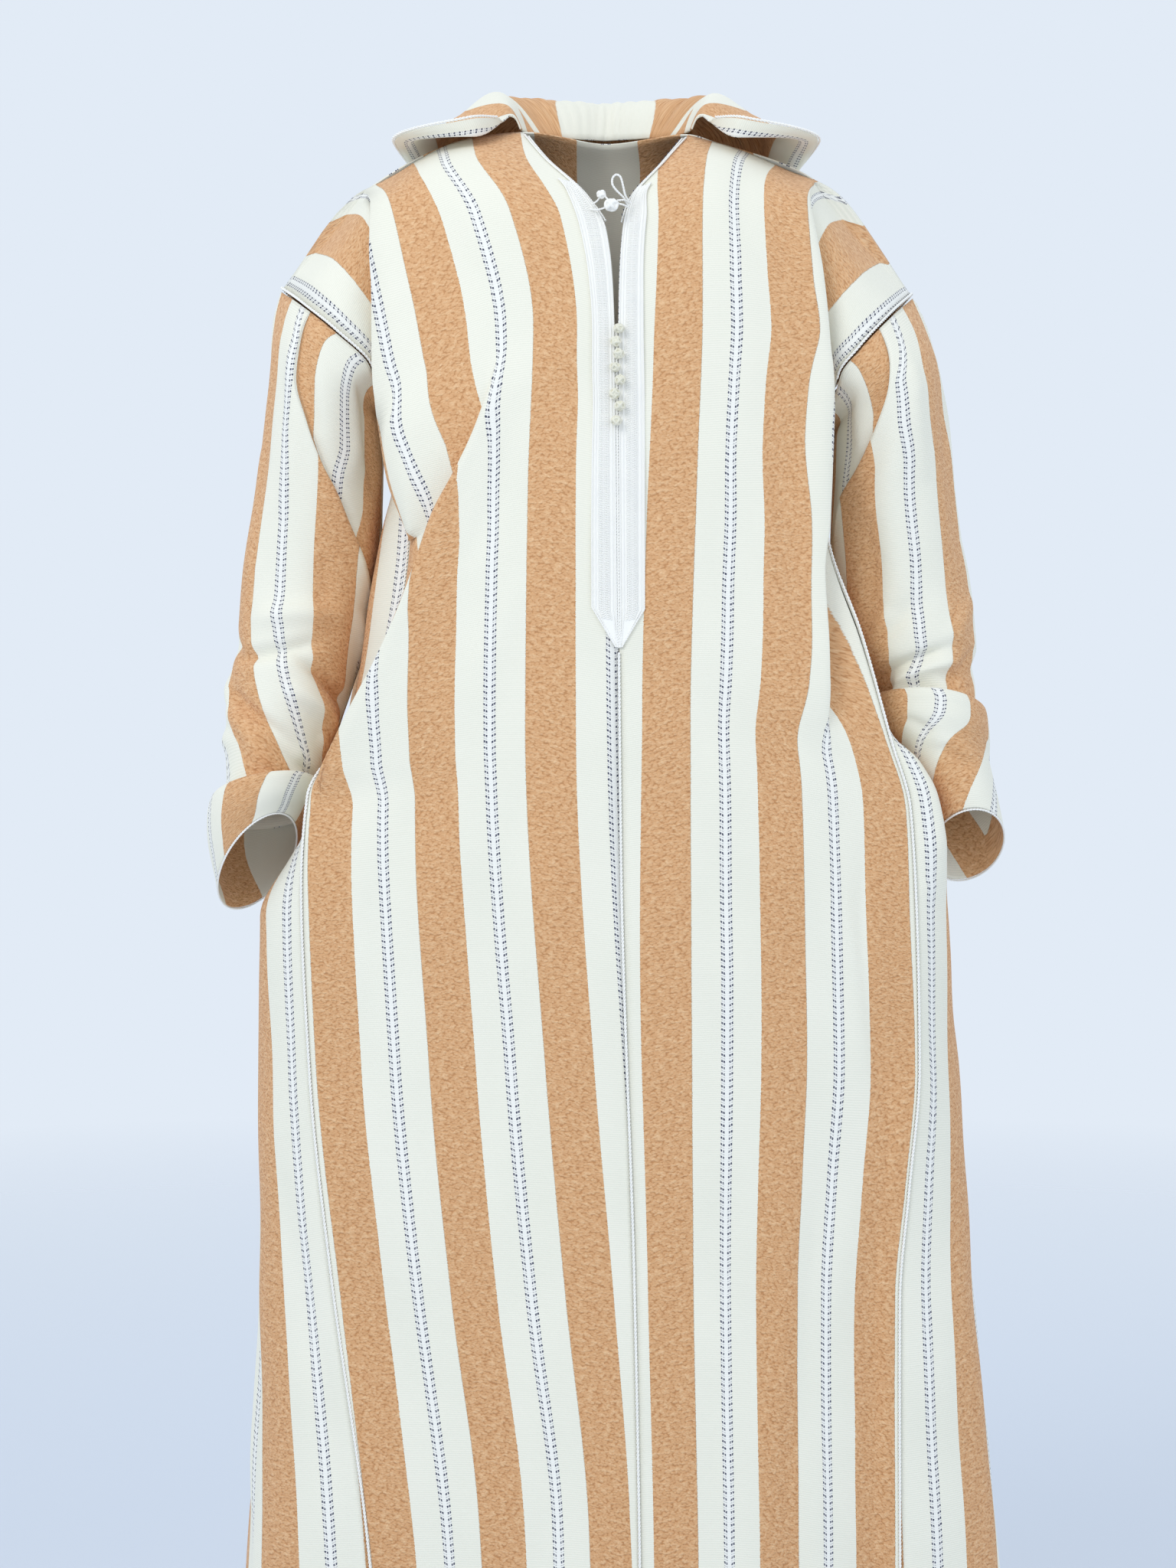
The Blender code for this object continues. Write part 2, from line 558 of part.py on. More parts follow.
def front_sheet(side):
    def point(a, b):
        v = spaced(DOWN, b)
        inner, outer = front_edges(side, v)
        share = spaced(front_stations(side, v), a)
        return front_point(side, inner + GAP + share * (outer - inner - GAP - SEAM_GAP), v)
    return point


for label, side in (("front_left", -1), ("front_right", 1)):
    columns = sum(BANDS_LEFT if side < 0 else BANDS_RIGHT)
    sheet(label, front_sheet(side), columns, len(DOWN) - 1, cloth)

BACK_DOWN = (SHOULDER_GAP, 22, 50, 85, 120, 148, 172, 194, 215, 238, 262, 312, 360, 388, 418, 450, 485,
             540, 600, 710, 850, 1030, 1230, HEM)


def back_sheet(a, b):
    v = spaced(BACK_DOWN, b)
    left = back_knots(-1, v)[-1][0] - 2 * SEAM_GAP
    right = back_knots(1, v)[-1][0] - 2 * SEAM_GAP
    return back_point(-left + a * (left + right), v)


sheet("back_panel", back_sheet, 20, len(BACK_DOWN) - 1, cloth)

GORE_DOWN = (GORE_TOP,) + DOWN[11:]


def gore_sheet(side):
    def point(a, b):
        v = spaced(GORE_DOWN, b)
        width = gore_width(v)
        return gore_point(side, 2 * SEAM_GAP + a * (width - 4 * SEAM_GAP), v)
    return point


for label, side in (("gore_left", -1), ("gore_right", 1)):
    sheet(label, gore_sheet(side), 7, len(GORE_DOWN) - 1, cloth)


# ---- sleeves ------------------------------------------------------------------------------
def sleeve_sheet(side, stations):
    def point(a, b):
        return sleeve_point(side, a, spaced(stations, b))
    return point


LEFT_STATIONS = (2.3, 18, 38, 60, 90, 125, 165, 210, 255, 300, 345, 380, 408, 425, 436, 447, 458, 469,
                 482, 518, 560)
RIGHT_STATIONS = (2.3, 18, 38, 60, 90, 125, 165, 205, 245, 280, 310, 332, 346, 358, 372, 385, 398, 410,
                  424, 470, 530)
sheet("sleeve_left", sleeve_sheet(-1, LEFT_STATIONS), 18, len(LEFT_STATIONS) - 1, cloth, closed=True)
sheet("sleeve_right", sleeve_sheet(1, RIGHT_STATIONS), 18, len(RIGHT_STATIONS) - 1, cloth,
      closed=True)


# ---- hood ---------------------------------------------------------------------------------
def hood_sheet(a, b):
    return hood_point(a, b)


sheet("hood", hood_sheet, HOOD_STEPS, 15, cloth)


# ---- braid, cords and piping ---------------------------------------------------------------
def outward(side, u, v, height):
    return lift(lambda a, b: front_point(side, a, b), u, v, -side * height)


def braid(side):
    height = WALL / 2 + 2 * GAP + BRAID_THICK / 2

    def point(a, b):
        v = BRAID_TOP + b * (BRAID_TIP - BRAID_TOP)
        inner = front_edges(side, v)[0] + 1.0
        taper = np.clip((BRAID_TIP - v) / (BRAID_TIP - BRAID_SQUARE), 0, 1)
        return outward(side, inner + a * (1.2 + (BRAID_WIDTH - 1.2) * taper), v, height)
    return point


for label, side in (("braid_left", -1), ("braid_right", 1)):
    sheet(label, braid(side), 3, 18, trim, wall=BRAID_THICK)


def neck_cord(side):
    spots = []
    for v in (9, 16, 25, 34, 44, 54, 65, 76, 84):
        inner = front_edges(side, v)[0]
        spots.append(front_point(side, inner - PIPE - 2 * SEAM_GAP, v))
    return spots


tube("neck_cord_left", neck_cord(-1), PIPE, trim)
tube("neck_cord_right", neck_cord(1), PIPE, trim)

centre = []
for v in (BRAID_TIP + 4,) + DOWN[20:-1] + (HEM - 2,):
    middle = (front_point(-1, 0, v) + front_point(1, 0, v)) / 2
    centre.append(middle + (0, -(WALL / 2 + SEAM_GAP + PIPE), 0))
tube("centre_cord", centre, PIPE, trim)


def side_piping(side):
    spots = []
    for v in DOWN[11:-1] + (HEM - 2,):
        outer = front_edges(side, v)[1]
        out = outward(side, outer - 3, v, 1) - front_point(side, outer - 3, v)
        width = gore_width(v)
        over = lift(lambda a, b: gore_point(side, a, b), 3, v, -side) - gore_point(side, 3, v)
        seam = front_point(side, outer, v)
        spots.append(seam + unit(out + over) * (WALL / 2 + SEAM_GAP + PIPE + 0.6))
    return spots


tube("side_piping_left", side_piping(-1), PIPE, trim)
tube("side_piping_right", side_piping(1), PIPE, trim)


def armhole_piping(side):
    ring = [armhole_ring(side, t) for t in np.linspace(0, 1, 24, endpoint=False)]
    middle = np.mean(ring, axis=0)
    spots = []
    total = 2 * ARMHOLE + gore_width(ARMHOLE)
    back = [(total - v) / total for v in (172, 148, 120, 85, 50, 22)]
    front = [v / total for v in (0, 16, 34, 54, 76, 100, 124, 148)]
    for turn in back + front:
        place = armhole_ring(side, turn)
        spots.append(place + unit(place - middle) * (WALL / 2 + SEAM_GAP + PIPE + 0.9))
    return spots


tube("armhole_piping_left", armhole_piping(-1), PIPE, trim)
tube("armhole_piping_right", armhole_piping(1), PIPE, trim)

rim = []
for step in range(HOOD_STEPS + 1):
    p = float(np.clip(step / HOOD_STEPS, 0.003, 0.997))
    edge = hood_point(p, 1.0)
    rim.append(edge + unit(edge - hood_point(p, 0.96)) * (3 * SEAM_GAP + PIPE))
tube("hood_piping", rim, PIPE, trim)


def cuff_piping(side, last):
    spots = []
    for turn in np.linspace(0, 1, 18, endpoint=False):
        mouth = sleeve_point(side, turn, last)
        spots.append(mouth + unit(mouth - sleeve_point(side, turn, last - 12)) * (2 * SEAM_GAP + PIPE))
    return spots


tube("cuff_piping_left", cuff_piping(-1, LEFT_STATIONS[-1]), PIPE, trim, closed=True)
tube("cuff_piping_right", cuff_piping(1, RIGHT_STATIONS[-1]), PIPE, trim, closed=True)


# ---- knot buttons and the toggle -----------------------------------------------------------
def knot(name, place, radius):
    bm = bmesh.new()
    bmesh.ops.create_icosphere(bm, subdivisions=2, radius=radius * MM)
    bmesh.ops.translate(bm, verts=bm.verts, vec=Vector(place) * MM)
    add(name, bm, trim)


proud = WALL / 2 + 3 * GAP + BRAID_THICK
for number in range(BUTTON_COUNT):
    v = BUTTON_FIRST + number * BUTTON_PITCH
    middle = (front_point(-1, 0, v) + front_point(1, 0, v)) / 2
    knot(f"button_{number + 1}", middle + (0, -(proud + BUTTON_RADIUS), 0), BUTTON_RADIUS)

knot("toggle_knot", (-2, -108, -78), 5.2)
loop = []
for angle in np.linspace(0, 2 * np.pi, 16, endpoint=False):
    loop.append((5 + 6.5 * np.sin(angle), -108, -61.5 - 9 * np.cos(angle)))
tube("toggle_loop", loop, 1.1, trim, closed=True)
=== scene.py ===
# %% [markdown]
# # A striped, hooded robe
# The robe is a long djellaba: straight panels of thick striped wool, gores at the sides, wide
# sleeves and a hood that lies down on the back. Its solids are already packed as a plain frame.
# This lesson dresses them: every panel is laid again as a fine thin sheet over its solid, with
# its stripes, weave and small creases, and then come the cords, the braid and the knots.

# %% Load the frame
from functools import lru_cache
import bpy
import bmesh
import numpy as np
from mathutils import Matrix, Vector


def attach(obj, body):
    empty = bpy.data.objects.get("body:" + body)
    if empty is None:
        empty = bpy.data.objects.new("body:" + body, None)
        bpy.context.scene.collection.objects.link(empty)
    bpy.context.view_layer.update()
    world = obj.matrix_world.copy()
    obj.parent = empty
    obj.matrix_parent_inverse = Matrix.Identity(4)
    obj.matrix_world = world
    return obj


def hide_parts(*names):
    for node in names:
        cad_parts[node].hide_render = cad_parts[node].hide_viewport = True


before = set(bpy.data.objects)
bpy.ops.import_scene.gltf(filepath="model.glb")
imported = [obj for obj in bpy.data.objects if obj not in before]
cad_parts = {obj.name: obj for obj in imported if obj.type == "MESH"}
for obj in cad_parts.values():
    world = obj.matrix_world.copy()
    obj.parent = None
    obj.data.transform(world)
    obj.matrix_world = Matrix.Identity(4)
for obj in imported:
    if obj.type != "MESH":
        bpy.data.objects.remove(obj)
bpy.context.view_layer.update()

scene = bpy.context.scene

LEFT, RIGHT = -1, 1   # the viewer's left and right: the sign of x
SIDES = ((LEFT, "left"), (RIGHT, "right"))


def added(name, data):
    """A new object with this data, put into the scene."""
    made = bpy.data.objects.new(name, data)
    scene.collection.objects.link(made)
    return made


# %% [markdown]
# ## Where the viewer stands
# The robe is seen straight from the front, from two metres away and at the height of the
# waist, so upright lines stay upright. The frame cuts it off above the hem. A camera with no
# tilt and a long-side sensor of 24 mm gives just that view.

# %% Camera
SENSOR = 24.0         # millimetres, on the long side
SEEN_FROM = 2.0       # metres from the viewer to the front of the chest
SEEN_HEIGHT = 1.2288  # metres of height in view there
eye = bpy.data.cameras.new("eye")
eye.sensor_width = SENSOR
eye.lens = SENSOR * SEEN_FROM / SEEN_HEIGHT
eye.clip_end = 60.0
viewer = added("viewer", eye)
viewer.location = (-0.019, -2.120, -0.536)
viewer.rotation_euler = (np.pi / 2, 0.0, 0.0)
scene.camera = viewer
print("lens", round(eye.lens, 2), "mm on a sensor", eye.sensor_width, "mm high")

# %% [markdown]
# ## The lines of the cut
# A garment is easiest to describe on its flat cloth. `u` is the place across a panel and `v`
# the place down it, both in millimetres, and each row below says where such a place hangs in
# the air: `v, u, x, y, z`. The seams, the chest line, where the first stripe ends, and the
# lines of the back are given so. A smooth curve through each table gives every row between.

# %% Lines of the panels
HEM = 1412.0          # the body cloth's length from shoulder to hem
ARMHOLE = 215.0       # half the armhole, measured round the seam
GAP = 0.35            # half the slit between the fronts
BRAID_TOP = 88.0      # where the neck cords end, where the braid narrows, and its point
BRAID_SQUARE = 404.0
BRAID_TIP = 432.0
BRAID_WIDTH = 19.5    # of each of its two bands
BUTTON_RADIUS = 4.1
BUTTON_COUNT = 8
BUTTON_FIRST = 178.0
BUTTON_PITCH = 10.6
BUTTON_PROUD = 3.35   # the buttons sit this far out from the cloth's middle
NECK_BELOW = (
    (420, 0, 5, -127, -418), (620, 0, 7, -130, -611), (940, 0, 17, -138, -926),
    (1166, 0, 21, -150, -1147), (1416, 0, 23, -160, -1400),
)
NECK = {
    LEFT: (
        (0, 32, -73, -6, 4), (35, 20, -54, -48, -28), (70, 7, -21, -84, -67),
        (95, 1, -4, -98, -97), (140, 0, 1, -108, -142), (215, 0, 3, -118, -215),
    ) + NECK_BELOW,
    RIGHT: (
        (0, 54, 64, -6, 2), (35, 40, 43, -48, -31), (70, 14, 15, -84, -71), (95, 3, 8, -98, -97),
        (140, 0, 5, -108, -142), (215, 0, 4, -118, -215),
    ) + NECK_BELOW,
}
CHEST = {
    LEFT: (
        (0, 72, -115, -4, 0), (40, 72, -110, -52, -27), (96, 72, -81, -93, -81),
        (187, 72, -62, -111, -175), (310, 71, -66, -120, -300), (505, 70, -68, -127, -492),
        (775, 63, -52, -131, -760), (955, 54, -36, -136, -938), (1135, 46, -18, -145, -1114),
        (1416, 36, -12, -156, -1400),
    ),
    RIGHT: (
        (0, 74, 84, -4, -3), (40, 74, 77, -52, -30), (96, 72, 72, -93, -81),
        (187, 67, 71, -111, -175), (310, 61, 66, -120, -306), (505, 55, 61, -127, -492),
        (775, 49, 62, -131, -760), (955, 49, 63, -136, -938), (1135, 50, 66, -145, -1114),
        (1416, 50, 69, -156, -1400),
    ),
}
SIDE_SEAM = {
    LEFT: (
        (0, 295, -273, 5, -124), (64, 295, -247, -55, -149), (103, 295, -220, -78, -173),
        (142, 295, -193, -72, -199), (180, 295, -187, -45, -220), (215, 295, -184, -12, -234),
        (260, 283, -169, -40, -275), (329, 262, -162, -72, -337), (420, 258, -174, -82, -429),
        (475, 257, -195, -88, -482), (547, 258, -240, -98, -546), (620, 259, -245, -102, -618),
        (775, 254, -239, -98, -764), (940, 246, -222, -98, -925), (1140, 233, -193, -110, -1125),
        (1416, 228, -168, -118, -1402),
    ),
    RIGHT: (
        (0, 292, 250, 5, -129), (64, 292, 224, -55, -157), (103, 292, 198, -78, -186),
        (142, 292, 182, -72, -207), (180, 292, 179, -45, -228), (215, 292, 179, -12, -242),
        (260, 280, 166, -45, -281), (329, 258, 172, -76, -340), (408, 248, 198, -88, -418),
        (487, 246, 219, -95, -496), (548, 244, 236, -99, -555), (620, 243, 240, -100, -626),
        (775, 238, 243, -97, -764), (850, 238, 235, -98, -855), (940, 239, 227, -102, -945),
        (1120, 240, 226, -112, -1124), (1416, 240, 226, -118, -1402),
    ),
}
BACK_CENTRE = (
    (0, 0, -4, 46, 8), (26, 0, -3, 64, -10), (76, 0, -2, 84, -56), (173, 0, 0, 98, -152),
    (310, 0, 2, 106, -288), (420, 0, 4, 108, -398), (620, 0, 7, 110, -598),
    (775, 0, 12, 113, -752), (940, 0, 17, 123, -916), (1140, 0, 20, 142, -1115),
    (1416, 0, 22, 168, -1402),
)
# the back's other lines are given for the left and turned over for the right
BACK_BLADE = (
    (40, 74, -72, 34, -4), (90, 74, -73, 68, -36), (187, 76, -75, 92, -130),
    (310, 78, -76, 101, -252), (420, 78, -76, 104, -372), (620, 76, -70, 107, -578),
    (775, 76, -66, 110, -738), (940, 76, -60, 120, -906), (1140, 76, -56, 139, -1110),
    (1416, 76, -54, 165, -1402),
)
BACK_SHOULDER = (
    (60, 214, -197, 56, -69), (142, 206, -184, 82, -150), (230, 204, -164, 90, -238),
    (330, 198, -164, 88, -338), (475, 194, -184, 90, -480), (620, 190, -182, 98, -618),
    (775, 186, -178, 104, -766), (940, 184, -172, 116, -928), (1140, 182, -164, 135, -1124),
    (1416, 182, -156, 158, -1402),
)
BACK_SIDE = {
    LEFT: (
        (0, 335, -273, 5, -124), (64, 332, -247, 62, -149), (103, 330, -220, 86, -173),
        (142, 326, -195, 82, -199), (180, 318, -188, 54, -220), (215, 310, -184, 16, -234),
        (260, 288, -170, 46, -276), (329, 268, -192, 72, -338), (420, 256, -216, 80, -429),
        (475, 252, -226, 78, -482), (547, 250, -234, 76, -553), (620, 250, -240, 78, -624),
        (775, 250, -246, 88, -768), (940, 250, -246, 100, -930), (1140, 250, -244, 118, -1130),
        (1416, 250, -240, 138, -1402),
    ),
    RIGHT: (
        (0, 335, 250, 5, -129), (64, 332, 224, 62, -157), (103, 330, 200, 86, -186),
        (142, 326, 184, 82, -207), (180, 318, 180, 54, -228), (215, 310, 179, 16, -242),
        (260, 288, 164, 46, -284), (329, 268, 186, 72, -346), (420, 256, 206, 80, -432),
        (487, 252, 220, 78, -500), (547, 250, 230, 76, -560), (620, 250, 240, 78, -630),
        (775, 250, 250, 88, -768), (940, 250, 254, 100, -930), (1140, 250, 256, 118, -1130),
        (1416, 250, 256, 138, -1402),
    ),
}
# the gores lie on the seam in front; only x, y, z of two further lines are given, at v
GORE_FRONT = {
    LEFT: (
        (215, -184, -3, -235), (260, -177, -18, -276), (329, -189, -35, -340),
        (420, -201, -40, -428), (475, -211, -45, -482), (530, -232, -50, -538),
        (560, -238, -60, -567), (590, -257, -70, -596), (640, -283, -58, -644),
        (775, -280, -55, -775), (940, -272, -60, -938), (1140, -262, -75, -1135),
        (1416, -258, -85, -1402),
    ),
    RIGHT: (
        (215, 179, -3, -243), (260, 167, -20, -284), (329, 174, -38, -344), (408, 200, -62, -419),
        (455, 211, -80, -465), (487, 222, -90, -498), (510, 238, -95, -519),
        (548, 251, -99, -550), (575, 256, -99, -578), (600, 259, -94, -602),
        (640, 267, -74, -642), (775, 274, -60, -775), (940, 280, -66, -945),
        (1140, 288, -80, -1140), (1416, 300, -90, -1402),
    ),
}
GORE_MIDDLE = {
    LEFT: (
        (215, -184, 7, -235), (260, -171, 14, -276), (329, -180, 10, -340), (420, -201, 8, -428),
        (475, -212, 6, -482), (547, -229, 4, -553), (590, -242, 4, -596), (640, -272, 4, -646),
        (775, -284, 6, -775), (940, -286, 10, -938), (1140, -298, 12, -1135),
        (1416, -312, 14, -1402),
    ),
    RIGHT: (
        (215, 179, 7, -243), (260, 166, 14, -284), (329, 172, 8, -344), (370, 178, 7, -382),
        (408, 189, 6, -419), (487, 206, 4, -498), (548, 226, 2, -556), (590, 238, 2, -600),
        (640, 262, 2, -648), (775, 281, 5, -775), (940, 292, 10, -945), (1140, 308, 12, -1140),
        (1416, 324, 14, -1402),
    ),
}
print("heights on the left side seam:", len(SIDE_SEAM[LEFT]))

# %% [markdown]
# ## Large folds
# A large fold is a crest, a strip of cloth that it hides, and how far the tuck reaches back
# in and down behind it. Two run from the armholes, and a third crosses the left front and
# falls to the side seam like the edge of an apron. The skirt has slow swells besides.

# %% Folds
# ---- large folds: v, u at the crest, x, y, z of the crest, then the cloth it hides, ------
# ---- how far the tuck reaches back in under the crest, and how deep it lies --------------
ARMPIT = {
    LEFT: (
        (0, 176, -205, 5, -42, 0, 0, 0), (60, 182, -194, -60, -68, 12, 2, 4),
        (100, 189, -192, -76, -110, 26, 5, 12), (142, 198, -191, -84, -158, 40, 9, 18),
        (187, 207, -190, -88, -206, 46, 12, 24), (230, 222, -186, -91, -251, 40, 11, 24),
        (275, 230, -177, -92, -296, 18, 5, 15), (330, 228, -160, -92, -342, 0, 0, 0),
    ),
    RIGHT: (
        (0, 164, 170, 5, -33, 0, 0, 0), (60, 172, 160, -62, -66, 10, 2, 4),
        (100, 173, 164, -76, -100, 26, 5, 12), (142, 172, 168, -84, -132, 40, 9, 18),
        (187, 168, 172, -89, -174, 50, 12, 24), (232, 178, 175, -93, -218, 50, 12, 24),
        (272, 180, 175, -96, -259, 46, 11, 24), (330, 168, 172, -101, -325, 66, 18, 22),
        (372, 162, 167, -106, -367, 78, 23, 20), (425, 163, 170, -110, -424, 64, 19, 18),
        (462, 166, 171, -113, -460, 38, 11, 13), (490, 172, 177, -115, -490, 16, 4, 7),
        (520, 182, 187, -117, -520, 0, 0, 0),
    ),
}
APRON_LEFT = (
    (196, 98, -88, -112, -186, 0, 0, 0), (240, 107, -101, -119, -241, 20, 5, 9),
    (290, 130, -124, -121, -295, 35, 11, 14), (322, 147, -141, -121, -328, 45, 15, 16),
    (345, 157, -150, -121, -351, 60, 20, 18), (372, 164, -159, -121, -378, 84, 26, 20),
    (425, 185, -181, -118, -431, 62, 20, 18), (477, 212, -209, -114, -482, 36, 11, 14),
    (530, 240, -234, -105, -534, 9, 1, 2), (560, 246, -242, -102, -561, 0, 0, 0),
)

# ---- soft folds of the skirt: u of the ridge, half width, height, v where it starts; on a
# ---- gore, u is a share of its width --------------------------------------------------------
SOFT_BACK = ((-205, 38, 13, 480), (-118, 40, 10, 640), (-30, 44, 12, 520), (66, 42, 10, 700),
             (150, 40, 12, 560), (222, 34, 10, 620))
SOFT_FRONT = {LEFT: ((40, 46, 2.5, 500), (214, 30, -4, 700)),
              RIGHT: ((105, 42, 3, 620), (214, 26, -7, 640))}
SOFT_GORE = ((0.36, 0.13, 9, 660), (0.74, 0.12, 11, 560))
APRON_FADE = (196, 250, 520, 560)    # v where the apron's fold begins, is full, wanes, ends
print("fold rows:", len(ARMPIT[LEFT]), len(ARMPIT[RIGHT]), len(APRON_LEFT))

# %% [markdown]
# ## Smooth curves through the tables
# Down the cloth a monotone cubic is used: it never swings past a row, so a seam stays where
# its table puts it. Across the cloth a plain cubic through uneven knots is better, because a
# fold has to round its crest. Both are a few lines of arithmetic, and the one across works on
# a whole row of places at once, which keeps a fine sheet quick to make.

# %% Curves
def cubic(h, t, p0, p1, m0, m1):
    """The cubic from p0 to p1 with end slopes m0 and m1 over a step h."""
    return ((2 * t**3 - 3 * t**2 + 1) * p0 + (t**3 - 2 * t**2 + t) * h * m0
            + (3 * t**2 - 2 * t**3) * p1 + (t**3 - t**2) * h * m1)


@lru_cache(maxsize=None)
def line_at(rows, v):
    """The row of a table at v, its columns smoothly between the rows."""
    table = np.asarray(rows, float)
    xs, ys = table[:, 0], table[:, 1:]
    v = float(np.clip(v, xs[0], xs[-1]))
    h = np.diff(xs)
    d = np.diff(ys, axis=0) / h[:, None]
    i = int(np.clip(np.searchsorted(xs, v) - 1, 0, len(xs) - 2))
    slopes = []
    for k in (i, i + 1):
        if k == 0 or k == len(xs) - 1:
            slopes.append(d[min(k, len(d) - 1)])
            continue
        w1, w2 = 2 * h[k] + h[k - 1], h[k] + 2 * h[k - 1]
        same = d[k - 1] * d[k] > 0
        mean = w1 / np.where(same, d[k - 1], 1) + w2 / np.where(same, d[k], 1)
        slopes.append(np.where(same, (w1 + w2) / np.where(same, mean, 1), 0))
    return cubic(h[i], (v - xs[i]) / h[i], ys[i], ys[i + 1], *slopes)


def through(knots, u):
    """Places at u, one or many, on a smooth curve through knots of (u, place)."""
    us = np.array([k[0] for k in knots], float)
    ps = np.array([k[1] for k in knots], float)
    h = np.diff(us)
    d = np.diff(ps, axis=0) / h[:, None]
    m = np.zeros_like(ps)
    m[0], m[-1] = d[0], d[-1]
    if len(us) > 2:
        m[0] = d[0] * 1.35 - d[1] * 0.35 if h[1] < 4 * h[0] else d[0]
        m[1:-1] = (h[1:, None] * d[:-1] + h[:-1, None] * d[1:]) / (h[1:] + h[:-1])[:, None]
    u = np.atleast_1d(np.asarray(u, float))
    i = np.clip(np.searchsorted(us, u) - 1, 0, len(us) - 2)
    step = h[i][:, None]
    return cubic(step, (u - us[i])[:, None] / step, ps[i], ps[i + 1], m[i], m[i + 1])


def run_length(points):
    """Distance along a line of points, 0 at its first."""
    return np.concatenate(((0,), np.cumsum(np.linalg.norm(np.diff(points, axis=0), axis=1))))


def eased(share):
    """A share from 0 to 1, made to start and end softly."""
    return share * share * (3 - 2 * share)


print("chest line at 500 mm down:", np.round(line_at(CHEST[LEFT], 500), 1))

# %% [markdown]
# ## The shape of each panel
# A front hangs from neck line, chest line and side seam, with its folds put in as extra knots:
# the crest, the tuck that turns back under it, and the layer below. Where a fold starts or
# ends, the places with it and without it are mixed, so that it grows out of the plain cloth.

# %% Shape of the fronts
def fold_knots(rows, v, inward, stay):
    """Crest, tuck and under-layer of one fold at v; stay is how far in the under-layer lies."""
    if not rows[0][0] <= v <= rows[-1][0]:
        return []
    u, x, y, z, hidden, reach, depth = line_at(rows, v)
    crest = np.array((x, y, z))
    knots = [(u, crest)]
    if hidden > 1:
        knots.append((u + 0.5 * hidden, crest + (inward * reach, 0.55 * depth, 0)))
        knots.append((u + hidden, crest + (inward * stay * reach, depth, 0)))
    return knots


def steady(knots, crest_u, before=16.0):
    """Add a knot just before a crest, so the cloth stays unstretched up to it."""
    at = [k[0] for k in knots].index(crest_u)
    (u0, p0), (u1, p1) = knots[at - 1], knots[at]
    share = max(1 - before / (u1 - u0), 0.5)
    knots.insert(at, (u0 + share * (u1 - u0), np.asarray(p0) + share * (np.asarray(p1) - p0)))


def fade(v, first, full, last_full, last):
    """A fold's strength at v: 0 before first, 1 from full to last_full, 0 after last."""
    rise = np.clip((v - first) / (full - first), 0, 1)
    fall = np.clip((last - v) / (last - last_full), 0, 1)
    return eased(min(rise, fall))


def knots_at(v, *tables):
    """The (u, place) of each table's line at v."""
    return [(row[0], row[1:]) for row in (line_at(rows, v) for rows in tables)]


@lru_cache(maxsize=None)
def front_layers(side, v):
    """Knots of the plain front, then of the front with each fold, and each fold's strength."""
    plain = knots_at(v, NECK[side], CHEST[side], SIDE_SEAM[side])
    layers = [(plain, 1.0)]
    fold = fold_knots(ARMPIT[side], v, -side, 0.9)
    if fold:
        knots = sorted(plain + fold, key=lambda k: k[0])
        steady(knots, fold[0][0])
        ends = ARMPIT[side][-1][0]
        layers.append((knots, fade(v, -1, 0, ends - 60, ends)))
    apron = fold_knots(APRON_LEFT, v, -side, -0.1) if side == LEFT else []
    if apron:
        low, high, outer = apron[0][0] - 4, apron[-1][0] + 4, plain[-1][0]
        knots = [k for k in plain + fold if k[0] < low or k[0] > high or k[0] == outer]
        knots = sorted(knots + [k for k in apron if k[0] < outer - 3], key=lambda k: k[0])
        if apron[0][0] < outer - 3:
            steady(knots, apron[0][0])
        layers.append((knots, fade(v, *APRON_FADE)))
    return layers


def soft(rows, u, v):
    """Height of the soft folds at (u, v): each grows from its start down to the hem."""
    total = 0.0
    for middle, half, height, start in rows:
        grow = np.clip((v - start) / (HEM - start), 0, 1)
        total = total + height * grow * (2 - grow) * np.exp(-((u - middle) / half) ** 2)
    return total


def front_edges(side, v):
    """The u of a front's centre edge and of its side seam."""
    return line_at(NECK[side], v)[0], line_at(SIDE_SEAM[side], v)[0]


def front_row(side, v, u):
    """Places on a front at v, for one u or many."""
    u = np.atleast_1d(np.asarray(u, float))
    outer = front_edges(side, v)[1]
    edge = np.clip(u / 14, 0, 1) * np.clip((outer - u) / 22, 0, 1)
    layers = front_layers(side, v)
    places = through(layers[0][0], u)
    for knots, strength in layers[1:]:
        places = places + strength * (through(knots, u) - places)
    places[:, 1] -= soft(SOFT_FRONT[side], u, v) * edge
    return places


def slit_middle(v):
    """The place between the two fronts' centre edges."""
    return (front_row(LEFT, v, 0)[0] + front_row(RIGHT, v, 0)[0]) / 2


print("left front at 400 mm down:", np.round(front_row(LEFT, 400, (0, 130, 258)), 1).tolist())

# %% [markdown]
# The back hangs from its centre, its blade and shoulder lines and its own side seam. A gore
# spans from the front's side seam to the back's. The armhole runs down the front's seam,
# across the top of the gore and up the back's. Each function gives places at one height.

# %% Shape of the back, gores and armholes
def back_rows(rows, side, top):
    """A back line for one side, starting from its place on the shoulder."""
    return ((0,) + tuple(top),) + tuple((v, u, -side * x, y, z) for v, u, x, y, z in rows)


@lru_cache(maxsize=None)
def back_knots(side, v):
    """The (u, place) knots of one half of the back, from its centre to its side seam."""
    blade = back_rows(BACK_BLADE, side, (75,) + NECK[side][0][2:])
    shoulder = back_rows(BACK_SHOULDER, side, (216,) + ARMPIT[side][0][2:5])
    knots = knots_at(v, BACK_CENTRE, blade, shoulder, BACK_SIDE[side])
    if v < 60:
        ridge = ((0, 116) + CHEST[side][0][2:], (60, 114, side * 112, 52, -22))
        knots[2:2] = knots_at(v, ridge)
    return knots


